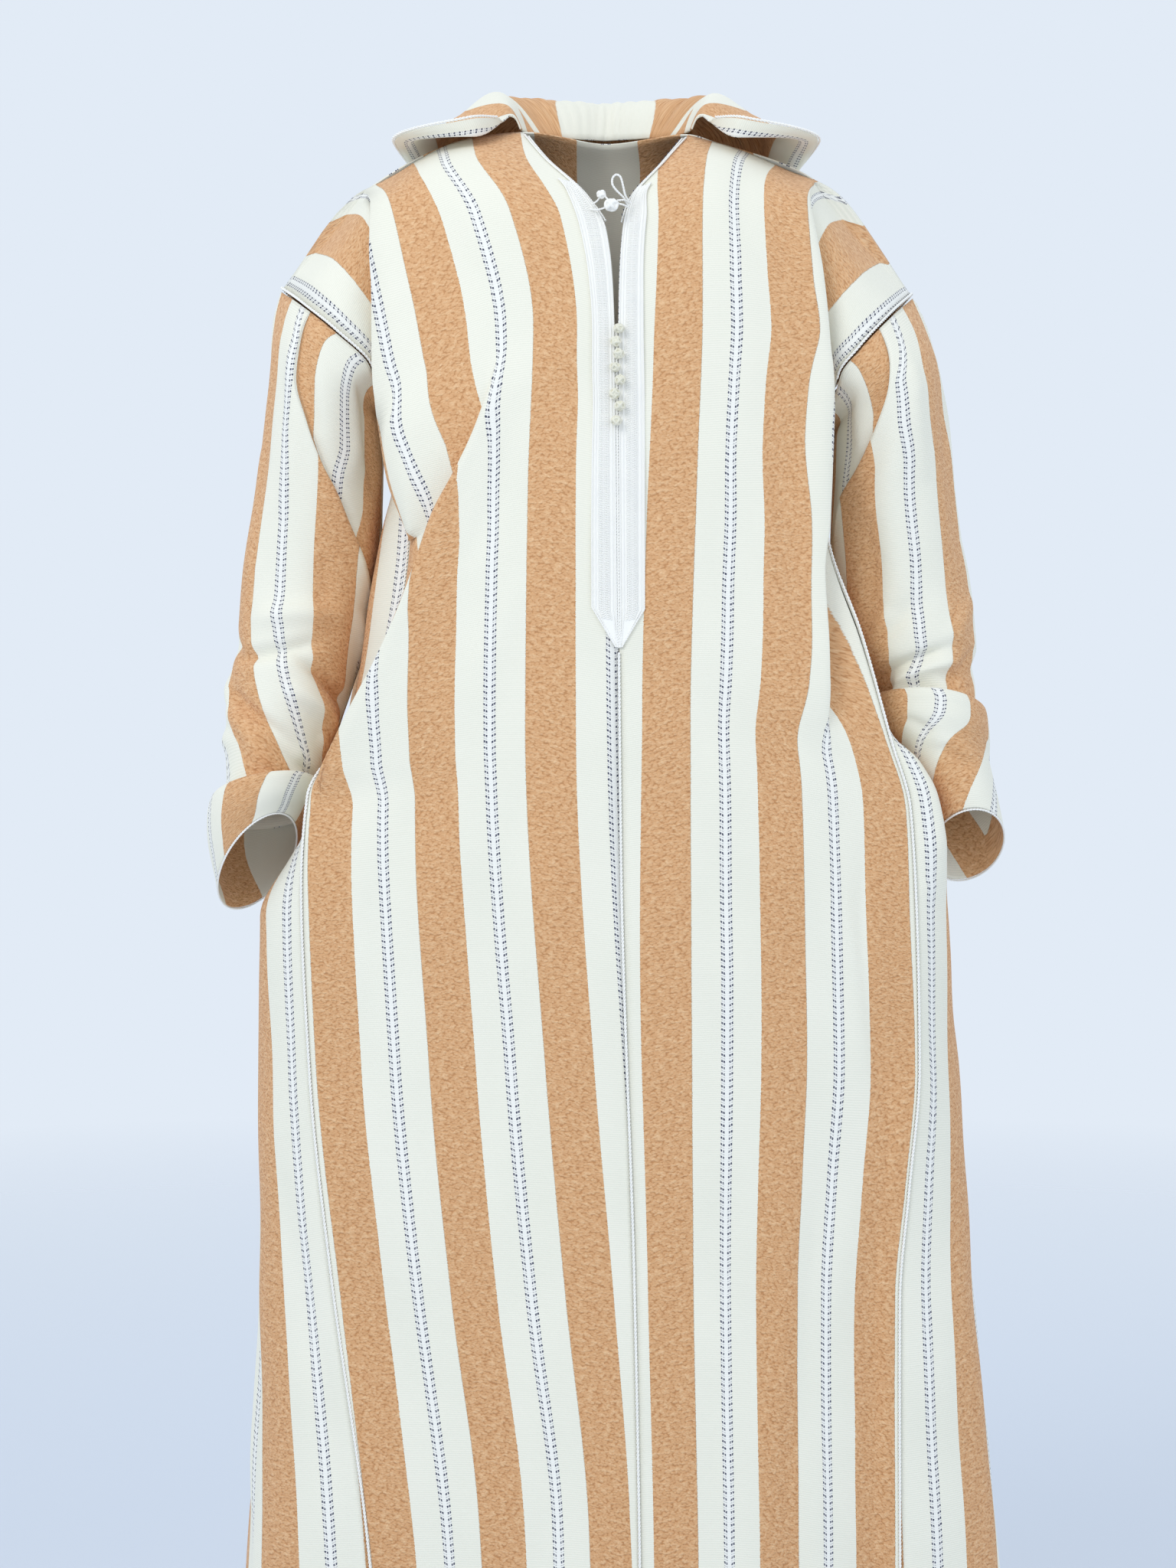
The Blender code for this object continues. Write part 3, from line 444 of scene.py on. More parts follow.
def back_row(v, u):
    """Places on the back at v; u runs from its left side to its right, 0 at the centre."""
    places = np.zeros((len(u), 3))
    for side in (LEFT, RIGHT):
        here = u < 0 if side == LEFT else u >= 0
        knots, other = back_knots(side, v), back_knots(-side, v)[1]
        lift = soft(SOFT_BACK, u[here], v) * np.clip((knots[-1][0] - abs(u[here])) / 40, 0, 1)
        places[here] = through([(-other[0], other[1])] + knots, abs(u[here]))
        places[here, 1] += lift
    return places


GORE_WIDTH = ((215, 28), (260, 92), (329, 136), (420, 160), (620, 200), (1416, 330))


def gore_width(v):
    """Width of a gore at v, from 28 mm under the arm to its full width at the hem."""
    return float(line_at(GORE_WIDTH, v)[0])


def gore_row(side, v, u):
    """Places across a gore at v; u runs from the front's side seam to the back's."""
    points = [line_at(SIDE_SEAM[side], v)[1:], line_at(GORE_FRONT[side], v),
              line_at(GORE_MIDDLE[side], v), back_knots(side, v)[-1][1]]
    at = run_length(points)
    t = np.atleast_1d(np.asarray(u, float)) / gore_width(v)
    out = soft(SOFT_GORE, t, v) * np.clip(8 * t, 0, 1) * np.clip(8 * (1 - t), 0, 1)
    places = through(list(zip(at / at[-1], points)), t)
    places[:, 0] += side * out
    return places


ARMHOLE_ROUND = 2 * ARMHOLE + gore_width(ARMHOLE)


def armhole_ring(side, turn):
    """A point of the armhole seam; turn runs 0 at the shoulder, forward and round to 1."""
    at = (turn % 1.0) * ARMHOLE_ROUND
    if at <= ARMHOLE:
        return line_at(SIDE_SEAM[side], at)[1:]
    if at >= ARMHOLE_ROUND - ARMHOLE:
        return back_knots(side, ARMHOLE_ROUND - at)[-1][1]
    return gore_row(side, ARMHOLE, at - ARMHOLE)[0]


print("gore's width at the hem:", round(gore_width(HEM)), "mm")

# %% [markdown]
# ## Sleeves and hood
# A sleeve is a row of ovals down the arm, joined to the armhole by a cubic that leaves the
# seam outward. Near the wrist the cloth has slid down over itself, so three rows of ovals lie
# one inside another. The hood is a fan of seven lines round the neck, from its seam, up over
# the stand, down into the bag and up again to the opening edge.

# %% Shape of the sleeves and hood
# ---- sleeves: s along the arm, centre x y z, outward half width x z, forward half depth y z
SLEEVE = {
    LEFT: (
        (70, -236, -2, -232, -46, 19, -78, 8), (150, -241, 0, -292, -51, 8, -72, 2),
        (240, -249, 2, -371, -55, 5, -66, 0), (330, -263, -10, -448, -48, 9, -59, 8),
        (400, -276, -28, -517, -39, 8, -44, 16), (425, -279, -33, -547, -36, -3, -42, 16),
        (436, -280, -35, -557, -38.5, -6, -47, 16), (447, -281, -36, -550, -41, -8, -51, 16),
        (458, -282, -38, -544, -43.5, -9, -56, 16), (469, -283, -39, -551, -44.5, -11, -59, 18),
        (480, -284, -40, -559, -44, -13, -59, 20), (560, -287, -50, -598, -32, -26, -48, 30),
    ),
    RIGHT: (
        (70, 230, -2, -238, 45, 19, -78, 8), (150, 233, 0, -298, 49, 8, -72, 2),
        (235, 241, 2, -371, 55, 4, -66, 0), (300, 252, -8, -429, 49, 5, -58, 6),
        (340, 259, -17, -462, 39, 2, -45, 12), (358, 260, -20, -482, 37.5, -2, -45, 12),
        (372, 260, -21, -492, 40, -4, -49, 12), (385, 260, -21, -482, 42, -5, -53, 12),
        (398, 261, -22, -472, 45, -6, -57, 12), (410, 262, -23, -481, 46.5, -6, -60, 13),
        (420, 263, -25, -490, 46, -5, -60, 15), (470, 273, -34, -525, 36, -2, -50, 22),
        (530, 289, -42, -585, 30, 1, -41, 30),
    ),
}
# ---- hood lying down: lines from the left neck point (p 0) round the back (p 0.5) --------
# ---- p along the line, then x, y, z; the right half is the left turned over --------------
HOOD_MIDDLE = -4.0
HOOD_LINES = {
    "neck": ((0, -75, -8, 6), (0.12, -73, 3, 7), (0.26, -62, 22, 8), (0.5, -4, 47, 10)),
    "stand": ((0, -78, -9, 13), (0.12, -84, 0, 26), (0.26, -92, 36, 46), (0.5, -4, 74, 48)),
    "over": ((0, -82, -11, 16), (0.12, -98, -16, 14), (0.26, -128, 22, 24), (0.38, -112, 76, 26),
             (0.5, -4, 100, 22)),
    "inner": ((0, -85, -15, 14), (0.12, -106, -32, -2), (0.26, -150, 2, 5), (0.32, -144, 52, -8),
              (0.38, -118, 98, -60), (0.5, -4, 116, -170)),
    "peak": ((0, -88, -20, 10), (0.12, -112, -43, -9), (0.26, -164, -12, -5),
             (0.32, -154, 62, -20), (0.38, -124, 114, -120), (0.5, -4, 124, -375)),
    "outer": ((0, -90, -24, 9), (0.12, -115, -47, -3), (0.26, -172, -18, -7),
              (0.32, -162, 66, -20), (0.38, -130, 126, -76), (0.5, -4, 138, -190)),
    "edge": ((0, -92, -28, 10), (0.12, -118, -49, 3), (0.26, -178, -22, -7), (0.32, -166, 62, -14),
             (0.38, -136, 124, -34), (0.5, -4, 144, -60)),
}
# ---- each line's place between the neck seam (0) and the opening edge (1) ------------------
HOOD_SHARE = {"neck": 0.0, "stand": 0.10, "over": 0.22, "inner": 0.42, "peak": 0.62,
              "outer": 0.82, "edge": 1.0}


def sleeve_row(side, s, turns, ring):
    """One oval at s along the arm; ring holds the armhole's places at the same turns."""
    angle = 2 * np.pi * np.asarray(turns)[:, None]

    def oval(at):
        x, y, z, ox, oz, fy, fz = line_at(SLEEVE[side], at)
        return (np.array((x, y, z)) + np.cos(angle) * np.array((ox, 0, oz))
                + np.sin(angle) * np.array((0, fy, fz)))

    start = SLEEVE[side][0][0]
    if s >= start:
        return oval(s)
    tube = oval(start)
    pull = (oval(start + 12) - tube) / 12
    leave = (tube - ring + (side * 30, 0, 0)) / start
    return cubic(start, s / start, ring, tube, leave, pull)


def hood_row(p, q):
    """Places across the hood at p round the neck, q from the neck seam to the edge."""
    left = p <= 0.5
    at = p if left else 1 - p
    places = through([(HOOD_SHARE[n], line_at(rows, at)) for n, rows in HOOD_LINES.items()], q)
    if not left:
        places[:, 0] = 2 * HOOD_MIDDLE - places[:, 0]
    return places


print("back of the hood:", np.round(hood_row(0.5, (0.0, 0.62, 1.0)), 0).tolist())

# %% [markdown]
# ## Shader values that can be added up
# A stripe pattern is arithmetic: how far across the cloth a spot is, modulo the repeat. One
# small class wraps a socket and gives it the usual signs, and one small desk makes the nodes,
# so the pattern reads as a sum instead of as a web of links.

# %% Values that add up
class Value:
    """A socket that takes part in sums; each sign adds one Math node."""

    def __init__(self, desk, socket):
        self.desk = desk
        self.socket = socket

    def maths(self, operation, *others):
        """This value and the others through one Math node."""
        made = self.desk.node("ShaderNodeMath", {"operation": operation},
                              dict(enumerate((self, *others))))
        return Value(self.desk, made.outputs[0])

    def __add__(self, other):
        return self.maths("ADD", other)

    def __radd__(self, other):
        return self.maths("ADD", other)

    def __sub__(self, other):
        return self.maths("SUBTRACT", other)

    def __rsub__(self, other):
        return self.maths("MULTIPLY", -1.0).maths("ADD", other)

    def __mul__(self, other):
        return self.maths("MULTIPLY", other)

    def __rmul__(self, other):
        return self.maths("MULTIPLY", other)

    def __truediv__(self, other):
        return self.maths("DIVIDE", other)

    def __abs__(self):
        return self.maths("ABSOLUTE")

    def __mod__(self, other):
        return self.maths("FLOORED_MODULO", other)

    def below(self, limit, soft_edge):
        """1 where the value is under the limit, falling to 0 over soft_edge."""
        ramp = (limit - self) / soft_edge + 0.5
        return ramp.maths("MAXIMUM", 0.0).maths("MINIMUM", 1.0)


print("signs that add a node: + - * / % and abs")

# %% [markdown]
# Every other node comes from the desk of its material. The desk lays out a node of any kind,
# sets its settings first and then feeds its inputs, with another node's output or with a
# plain number or colour. So each node is one line, and its links can be read in that line.

# %% Desk
class Desk:
    """One material and the nodes laid out for it."""

    def __init__(self, name):
        self.material = bpy.data.materials.new(name)
        self.material.use_nodes = True
        self.tree = self.material.node_tree
        self.shader = self.tree.nodes["Principled BSDF"]

    def node(self, kind, settings=None, values=None):
        """A new node with these settings, its inputs fed with values."""
        made = self.tree.nodes.new(kind)
        for key, value in (settings or {}).items():
            setattr(made, key, value)
        for key, value in (values or {}).items():
            self.feed(made.inputs[key], value)
        return made

    def feed(self, socket, value):
        """Link a value to an input, or write a plain number or colour into it."""
        if isinstance(value, Value):
            value = value.socket
        if isinstance(value, bpy.types.NodeSocket):
            self.tree.links.new(value, socket)
        else:
            socket.default_value = value

    def mix(self, factor, first, second):
        """A colour part way from the first to the second."""
        made = self.node("ShaderNodeMix", {"data_type": "RGBA"},
                         {0: factor, 6: first, 7: second})
        return made.outputs[2]

    def noise(self, place, scale, detail=2.0):
        """Cloudy noise from 0 to 1."""
        made = self.node("ShaderNodeTexNoise", {},
                         {"Vector": place, "Scale": scale, "Detail": detail})
        return Value(self, made.outputs[0])

    def finish(self, colour, roughness, height, distance, strength):
        """The material with its colour, roughness and a bump from its height."""
        bump = self.node("ShaderNodeBump", {},
                         {"Height": height, "Distance": distance, "Strength": strength})
        self.feed(self.shader.inputs["Base Color"], colour)
        self.feed(self.shader.inputs["Roughness"], roughness)
        self.feed(self.shader.inputs["Normal"], bump.outputs[0])
        return self.material


print("a desk for each material")

# %% [markdown]
# ## Colours
# The robe has few colours: camel yarn with a painted shade for the gaps between its loops and a
# painted highlight for their tops, an ivory ground with a painted shade for its rib, a whiter
# strip and navy dashes. They are easiest to choose as they look on a screen, so one helper turns
# such a colour into the linear light that shaders count in.

# %% Colours
def linear(red, green, blue):
    """A colour given in screen values from 0 to 255."""
    share = np.array((red, green, blue)) / 255
    made = np.where(share <= 0.04045, share / 12.92, ((share + 0.055) / 1.055) ** 2.4)
    return (*[float(x) for x in made], 1.0)


CAMEL = linear(226, 175, 126)
# painted shade: the camel in the gaps between its loops
CAMEL_PAINTED_SHADE = linear(194, 138, 90)
# painted highlight: the camel on the tops of its loops
CAMEL_PAINTED_HIGHLIGHT = linear(252, 214, 168)
IVORY = linear(250, 246, 231)
# painted shade of the ivory in the furrows of its rib and twill, also mixed in at random in clouds
IVORY_SHADE = linear(224, 226, 208)
STRIP = linear(247, 246, 240)
DASH = linear(36, 42, 78)
print("camel in linear light:", [round(x, 3) for x in CAMEL[:3]])

# %% [markdown]
# ## Striped wool
# The cloth repeats every 93 mm: a camel stripe 38 mm wide, then ivory with two pairs of fine
# dashed lines near its middle. The camel yarn is made of loops, so it stands up in small crooked
# worms that catch the light on one side; their colour adds a painted shade in the gaps between
# the loops and a painted highlight on their tops. The ivory ground is flat with a fine rib, and
# its colour takes a painted shade in the rib's furrows. Dashes and loops show on the right side
# only, so the wrong side is a second, plainer make of the same material. Both read the cloth's
# own map, in metres across and down.

# %% Cloth material
# ---- millimetres across the stripes --------------------------------------------------------
REPEAT = 93.0
CAMEL_WIDTH = 38.0
DASH_MIDDLE = 65.5
PAIR_APART = 3.2      # from the middle to each pair of columns
COLUMN_APART = 0.9    # from a pair's middle to each of its columns
COLUMN_HALF = 0.60
STRIP_BEYOND = 1.3    # the white strip under the dashes goes this far past the pairs
# ---- millimetres down them, and the dash as a share of its period --------------------------
DASH_PERIOD = 4.95
DASH_SHARE = 0.36
RIB_PITCH = 1.7
TWILL_PITCH = 1.15
LOOP_SCALE = 640.0    # loops of yarn in a metre
# darker towards the bottom: more of the camel's painted-shade colour is mixed in lower down
DEEPER_DOWN = 0.00018    # share of the deep camel added for each millimetre down the garment


def striped_wool(name, right_side):
    """The striped cloth, with dashes and a deeper relief on its right side."""
    desk = Desk(name)
    place = desk.node("ShaderNodeUVMap", {"uv_map": "cloth"}).outputs[0]
    parts = desk.node("ShaderNodeSeparateXYZ", {}, {0: place})
    across = Value(desk, parts.outputs[0]) * 1000
    down = Value(desk, parts.outputs[1]) * 1000
    ragged = desk.noise(place, 900.0) - 0.5
    spot = (across + ragged * 1.6) % REPEAT
    camel = spot.below(CAMEL_WIDTH, 0.5)

    wander = desk.node("ShaderNodeTexNoise", {}, {"Vector": place, "Scale": 420.0, "Detail": 1.0})
    bent = desk.node("ShaderNodeVectorMath", {"operation": "MULTIPLY_ADD"},
                     {0: wander.outputs["Color"], 1: (0.0016, 0.0016, 0.0), 2: place})
    turned = desk.node("ShaderNodeMapping", {},
                       {"Vector": bent.outputs[0], "Rotation": (0, 0, 0.5),
                        "Scale": (0.62, 1.0, 1.0)})
    loops = desk.node("ShaderNodeTexVoronoi", {"feature": "F1", "voronoi_dimensions": "2D"},
                      {"Vector": turned.outputs[0], "Scale": LOOP_SCALE, "Randomness": 1.0})
    loop = 1 - Value(desk, loops.outputs["Distance"])
    tint = desk.node("ShaderNodeSeparateColor", {}, {0: loops.outputs["Color"]})
    tint = Value(desk, tint.outputs[0])
    cloud = desk.noise(place, 9.0, 3.0)

    flattened = desk.node("ShaderNodeMapping", {},
                          {"Vector": bent.outputs[0], "Rotation": (0, 0, 0.25),
                           "Scale": (0.5, 1.0, 1.0)})
    crinkle = (desk.noise(flattened.outputs[0], 330.0, 2.0) - 0.5) * 3.4
    # painted shade: the camel darkens in the gaps between its loops, and more towards the bottom
    gap = (0.50 - loop) / 0.36 - crinkle * 0.5
    shade = gap.maths("MAXIMUM", 0.0).maths("MINIMUM", 0.75) + down * DEEPER_DOWN
    gap_shaded_camel = desk.mix(shade, CAMEL, CAMEL_PAINTED_SHADE)
    # painted highlight: the tops of the loops are lightened, more on some loops than on others
    painted_highlight_share = (loop - 0.45) * 0.8 * tint + crinkle * 0.55
    camel_painted_light = desk.mix(painted_highlight_share.maths("MAXIMUM", 0.0).maths("MINIMUM", 0.85), gap_shaded_camel, CAMEL_PAINTED_HIGHLIGHT)
    rib = (down * (2 * np.pi / RIB_PITCH) + ragged * 2.0).maths("SINE")
    twill = ((down + across) * (2 * np.pi / TWILL_PITCH)).maths("SINE")
    grain = rib * 0.5 + twill * 0.25
    # the ivory takes its painted shade in the furrows of the rib and twill, and at random in clouds
    ground = desk.mix((0.12 + grain * 0.35 + cloud * 0.35).maths("MAXIMUM", 0.0), IVORY,
                      IVORY_SHADE)
    height = camel * (loop * 0.8 + crinkle * 0.5 + 0.5) + (1 - camel) * (grain * 0.12)
    if right_side:
        from_middle = abs(spot - DASH_MIDDLE)
        strip = from_middle.below(PAIR_APART + STRIP_BEYOND, 0.7)
        ground = desk.mix(strip * 0.9, ground, STRIP)
        off_pair = from_middle - PAIR_APART
        column = abs(abs(off_pair) - COLUMN_APART).below(COLUMN_HALF, 0.3)
        step = off_pair * 0.09
        beat = (down / DASH_PERIOD + step + ragged * 0.1) % 1.0
        dash = beat.below(DASH_SHARE, 0.1) + abs(beat - 0.68).below(0.09, 0.08) * 0.4
        ground = desk.mix(column * dash * 0.95, ground, DASH)
        height = height - column * dash * 0.25
    colour = desk.mix(camel, ground, camel_painted_light)
    wear = desk.mix(cloud * 0.16, (1, 1, 1, 1), (0.86, 0.84, 0.83, 1))
    product = desk.node("ShaderNodeMix", {"data_type": "RGBA", "blend_type": "MULTIPLY"},
                        {0: 1.0, 6: colour, 7: wear})
    rough = 0.82 + camel * 0.12
    desk.shader.inputs["Sheen Weight"].default_value = 0.12
    desk.shader.inputs["Sheen Roughness"].default_value = 0.6
    desk.shader.inputs["Specular IOR Level"].default_value = 0.25
    return desk.finish(product.outputs[2], rough, height, 0.0009, 0.75 if right_side else 0.45)


wool = striped_wool("striped_wool", True)
wool_wrong = striped_wool("striped_wool_wrong_side", False)
print("cloth materials:", wool.name, "and", wool_wrong.name)

# %% [markdown]
# ## White cord and ivory knots
# Braid, piping and buttons are glossy white cotton or rayon. The strands are real geometry,
# so the material only adds the fine lie of the yarn and a slight sheen.

# %% Trim materials
def cord_white(name, light, shade, rough):
    """Smooth yarn between a light and a shaded colour, with this roughness."""
    desk = Desk(name)
    place = desk.node("ShaderNodeTexCoord").outputs["Object"]
    yarn = desk.noise(place, 1500.0, 1.0)
    cloud = desk.noise(place, 60.0)
    colour = desk.mix((yarn * 0.5 + cloud * 0.5 - 0.15), light, shade)
    desk.shader.inputs["Sheen Weight"].default_value = 0.15
    desk.shader.inputs["Specular IOR Level"].default_value = 0.4
    return desk.finish(colour, rough + cloud * 0.1, yarn, 0.0002, 0.3)


white = cord_white("white_cord", linear(255, 253, 246), linear(244, 243, 240), 0.6)
ivory_silk = cord_white("ivory_knots", linear(248, 244, 226), linear(212, 210, 190), 0.42)
print("trim materials:", white.name, "and", ivory_silk.name)

# %% [markdown]
# ## Small creases
# Worn wool has small soft ridges and troughs besides its large folds, and it never hangs
# quite even. They could be sculpted, or left to a simulation that comes out different after
# every change. Here each crease is a row of a table, from one spot of the cloth to another
# with its own width and height, and all are laid along the sheet's own normals.

# %% Creases
RIPPLE_SIZE = 110     # millimetres


def crease_height(creases, u, v):
    """Sum of soft ridges; each runs from (u0, v0) to (u1, v1), half wide and high."""
    total = np.zeros_like(u)
    for u0, v0, u1, v1, half, high in creases:
        along = np.array((u1 - u0, v1 - v0), float)
        length = max(float(np.hypot(*along)), 1e-6)
        along /= length
        t = ((u - u0) * along[0] + (v - v0) * along[1]) / length
        off = (u - u0) * along[1] - (v - v0) * along[0]
        bend = 0.06 * length * np.sin(np.pi * np.clip(t, 0, 1)) * np.sign(high)
        ends = np.clip(1 - np.abs(2 * t - 1) ** 3, 0, 1) * ((t > 0) & (t < 1))
        total += high * ends * np.exp(-((off - bend) / half) ** 2)
    return total


def ripple(u, v, seed, size):
    """Slow unevenness of hung cloth, in millimetres."""
    chance = np.random.default_rng(seed)
    total = np.zeros_like(u)
    for _ in range(9):
        a, b = chance.uniform(-1, 1, 2) * 2 * np.pi / size
        total += np.sin(u * a * 1.6 + v * b + chance.uniform(0, 2 * np.pi)) / 9
    return total


def lie(places, out, creases, u, v, seed, calm, waves=1.6, laps=0.0):
    """Raise creases, ripples and laps along the sheet's normals, on the side called out.

    Calm is from 0, where creases and ripples are left off, to 1, where they are full.
    """
    du = np.gradient(places, axis=1)
    dv = np.gradient(places, axis=0)
    normal = np.cross(du, dv)
    normal /= np.maximum(np.linalg.norm(normal, axis=2, keepdims=True), 1e-9)
    normal *= out
    high = (crease_height(creases, u, v) + waves * ripple(u, v, seed, RIPPLE_SIZE)) * calm
    return places + normal * (high + laps)[:, :, None]


print("creases and slow ripples over", RIPPLE_SIZE, "mm")

# %% [markdown]
# ## Laying a sheet
# Every panel is a flat grid whose points are moved to their places in the air. The grid keeps
# the cloth's own map, so the stripes follow the cut and not the room. A Solidify modifier
# then gives the sheet its thickness, with the wrong side of the cloth inside.

# %% Sheets
CLOTH_THICK = 1.3     # millimetres


def grid_piece(name, places, out, thick, materials, cloth=None, joined=False):
    """A walled sheet from a grid of places (rows down, columns across), in millimetres."""
    rows, columns = places.shape[:2]
    bm = bmesh.new()
    bmesh.ops.create_grid(bm, x_segments=columns - 1, y_segments=rows - 1, size=0.5)
    index = {}
    for vert in bm.verts:
        i = round((vert.co.y + 0.5) * (rows - 1))
        j = round((vert.co.x + 0.5) * (columns - 1))
        index[vert.index] = (i, j)
        vert.co = Vector(places[i, j]) * 0.001
    if cloth is not None:
        layer = bm.loops.layers.uv.new("cloth")
        for face in bm.faces:
            for loop in face.loops:
                loop[layer].uv = cloth[index[loop.vert.index]] * 0.001
    if joined:
        bmesh.ops.remove_doubles(bm, verts=bm.verts, dist=0.0001)
    if out < 0:
        bmesh.ops.reverse_faces(bm, faces=bm.faces)
    mesh = bpy.data.meshes.new(name)
    bm.to_mesh(mesh)
    bm.free()
    for made in materials:
        mesh.materials.append(made)
    mesh.shade_smooth()
    piece = added(name, mesh)
    wall = piece.modifiers.new("wall", "SOLIDIFY")
    wall.thickness = thick * 0.001
    wall.offset = 0.0
    wall.material_offset = len(materials) - 1
    wall.material_offset_rim = 0
    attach(piece, "root")
    return piece


def lay_sheet(node, places, u, v, out, joined=False):
    """The cloth of one panel, with its map, in place of the panel's solid."""
    name = node.removesuffix("_panel") + "_cloth"
    piece = grid_piece(name, places, out, CLOTH_THICK, (wool, wool_wrong),
                       np.stack((u, v), axis=2), joined)
    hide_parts(node)
    print(name, "spots", u.size, "box", np.round(places.min((0, 1))), np.round(places.max((0, 1))))
    return piece


def rows_of(heights, columns, row):
    """Places, u and v of a sheet: columns(v) gives each row's u, and row(v, u) its places."""
    u = np.array([columns(v) for v in heights])
    places = np.array([row(v, spots) for v, spots in zip(heights, u)])
    return places, u, np.repeat(heights[:, None], u.shape[1], axis=1)


def calm_sides(u, first, last):
    """0 at both side edges of a sheet, and 1 from first and last millimetres in."""
    return np.clip((u - u[:, :1]) / first, 0, 1) * np.clip((u[:, -1:] - u) / last, 0, 1)


print("cloth", CLOTH_THICK, "mm thick")

# %% [markdown]
# ## The fronts
# The grid's columns follow the folds, with many of them where the cloth turns back on itself
# and fewer where it is plain, so a fold's crest is always on a column and stays crisp. The
# map across starts from the far edge of the first camel stripe, because the seam at the
# centre runs off the straight of the stripes.

# %% Fronts
SEAM = 0.5            # millimetres left clear at a seam on each side
TOP = 1.2             # and at the shoulder
# how many columns lie between the fold lines, from the centre edge outward
BANDS = {LEFT: (22, 30, 4, 20, 5), RIGHT: (26, 34, 20)}
CREASES_FRONT = {
    LEFT: (
        (96, 206, 148, 352, 10, 2.2), (84, 232, 120, 372, 12, -1.6), (60, 40, 74, 190, 12, 1.4),
        (150, 60, 132, 180, 12, -1.6), (110, 30, 96, 150, 10, 1.6), (190, 20, 176, 150, 9, 1.8),
        (214, 110, 232, 300, 8, 2.2), (232, 120, 240, 280, 7, -2.0), (70, 380, 120, 560, 14, 1.8),
        (150, 420, 176, 640, 12, -1.8), (190, 520, 200, 900, 14, 2.2),
        (120, 600, 110, 1020, 16, -1.8), (66, 700, 72, 1240, 15, 1.8),
        (170, 760, 160, 1390, 16, 2.4), (210, 900, 204, 1400, 10, -2.4),
        (36, 860, 40, 1400, 12, -1.6), (96, 1080, 92, 1406, 14, 2.0), (30, 500, 52, 700, 12, 1.2),
    ),
    RIGHT: (
        (150, 40, 160, 200, 10, 1.8), (120, 24, 108, 130, 11, -1.6), (86, 60, 100, 260, 13, 1.4),
        (60, 30, 56, 150, 10, -1.2), (170, 210, 156, 330, 9, 2.2), (140, 260, 156, 440, 11, -1.8),
        (196, 90, 214, 240, 8, 2.0), (224, 120, 230, 300, 8, -2.2), (110, 380, 160, 560, 14, 1.8),
        (64, 470, 84, 700, 14, -1.6), (150, 560, 190, 780, 12, 2.0),
        (206, 560, 214, 820, 9, -2.2), (110, 720, 104, 1160, 16, 1.8),
        (176, 820, 172, 1390, 14, -2.2), (60, 900, 56, 1400, 14, 1.8),
        (140, 1000, 132, 1404, 13, 2.2), (216, 880, 212, 1400, 10, 2.2),
        (88, 1120, 86, 1406, 10, -1.6),
    ),
}


def fold_lines(rows, v, inner, outer):
    """Where a fold starts and ends across the panel, as shares of its width."""
    crest, hidden = line_at(rows, v)[[0, 4]]
    start = (crest - inner) / (outer - inner)
    return start, start + max(hidden, 14) / (outer - inner)


def front_columns(side, v):
    """The u of a front's columns at v, following its folds."""
    inner, outer = front_edges(side, v)
    level = float(np.clip((v - 570) / 130, 0, 1))
    if side == LEFT:
        crest, tuck = fold_lines(APRON_LEFT, v, inner, outer)
        crest = crest * (1 - level) + 0.40 * level
        tuck = min(tuck, 0.96) * (1 - level) + 0.66 * level
        armpit, under = fold_lines(ARMPIT[LEFT], v, inner, outer)
        armpit = min(max(armpit, tuck + 0.012), 0.975)
        under = min(max(under, armpit + 0.012), 0.988)
        lines = (0, crest, tuck, armpit, under, 1)
    else:
        crest, tuck = fold_lines(ARMPIT[RIGHT], v, inner, outer)
        lines = (0, crest, max(tuck, crest + 0.12 * level), 1)
    shares = [0.0]
    for low, high, count in zip(lines, lines[1:], BANDS[side]):
        shares += list(np.linspace(low, high, count + 1)[1:])
    return inner + GAP + np.array(shares) * (outer - inner - GAP - SEAM)


heights = np.linspace(TOP, HEM, 306)
for side, word in SIDES:
    places, u, v = rows_of(heights, lambda v: front_columns(side, v),
                           lambda v, u: front_row(side, v, u))
    chest = np.array([line_at(CHEST[side], v)[0] for v in heights])[:, None]
    places = lie(places, -side, CREASES_FRONT[side], u, v, 11 + side, calm_sides(u, 26, 12))
    front = lay_sheet(f"front_{word}", places, u - chest + CAMEL_WIDTH, v, -side)

# %% [markdown]
# ## The back
# The back is one wide piece from shoulder to hem. A camel stripe lies each side of an ivory
# one at its middle, and slow folds grow from the waist down, uneven in width and start.

# %% Back
CREASES_BACK = (
    (-214, 70, -150, 250, 18, -4.0), (-190, 40, -90, 210, 20, 3.6), (206, 76, 140, 268, 18, -4.4),
    (186, 44, 96, 196, 20, 3.2), (-236, 210, -170, 330, 13, 4.4), (232, 206, 160, 350, 14, 4.0),
    (-250, 190, -196, 420, 11, -4.0), (246, 186, 190, 402, 12, -4.4), (-60, 60, -34, 330, 22, 2.6),
    (70, 90, 42, 380, 20, -2.4), (-150, 380, -120, 900, 20, 3.4), (-86, 470, -64, 1100, 16, -3.2),
    (-14, 420, 4, 980, 18, 2.8), (110, 430, 96, 1010, 20, 3.6), (168, 520, 150, 1200, 15, -3.6),
    (214, 400, 206, 840, 14, 3.6), (-212, 460, -204, 1010, 14, -3.4), (-176, 900, -182, 1400, 15, 4.0),
    (44, 860, 52, 1402, 16, -3.6), (-40, 1060, -44, 1406, 14, 3.4), (130, 1100, 138, 1404, 14, 3.0))
FIRST_CAMEL = 27.5    # the camel stripe right of the centre starts here


def back_columns(v):
    """The u of the back's columns at v, evenly from seam to seam."""
    left, right = [back_knots(side, v)[-1][0] - 2 * SEAM for side in (LEFT, RIGHT)]
    return np.linspace(-left, right, 121)


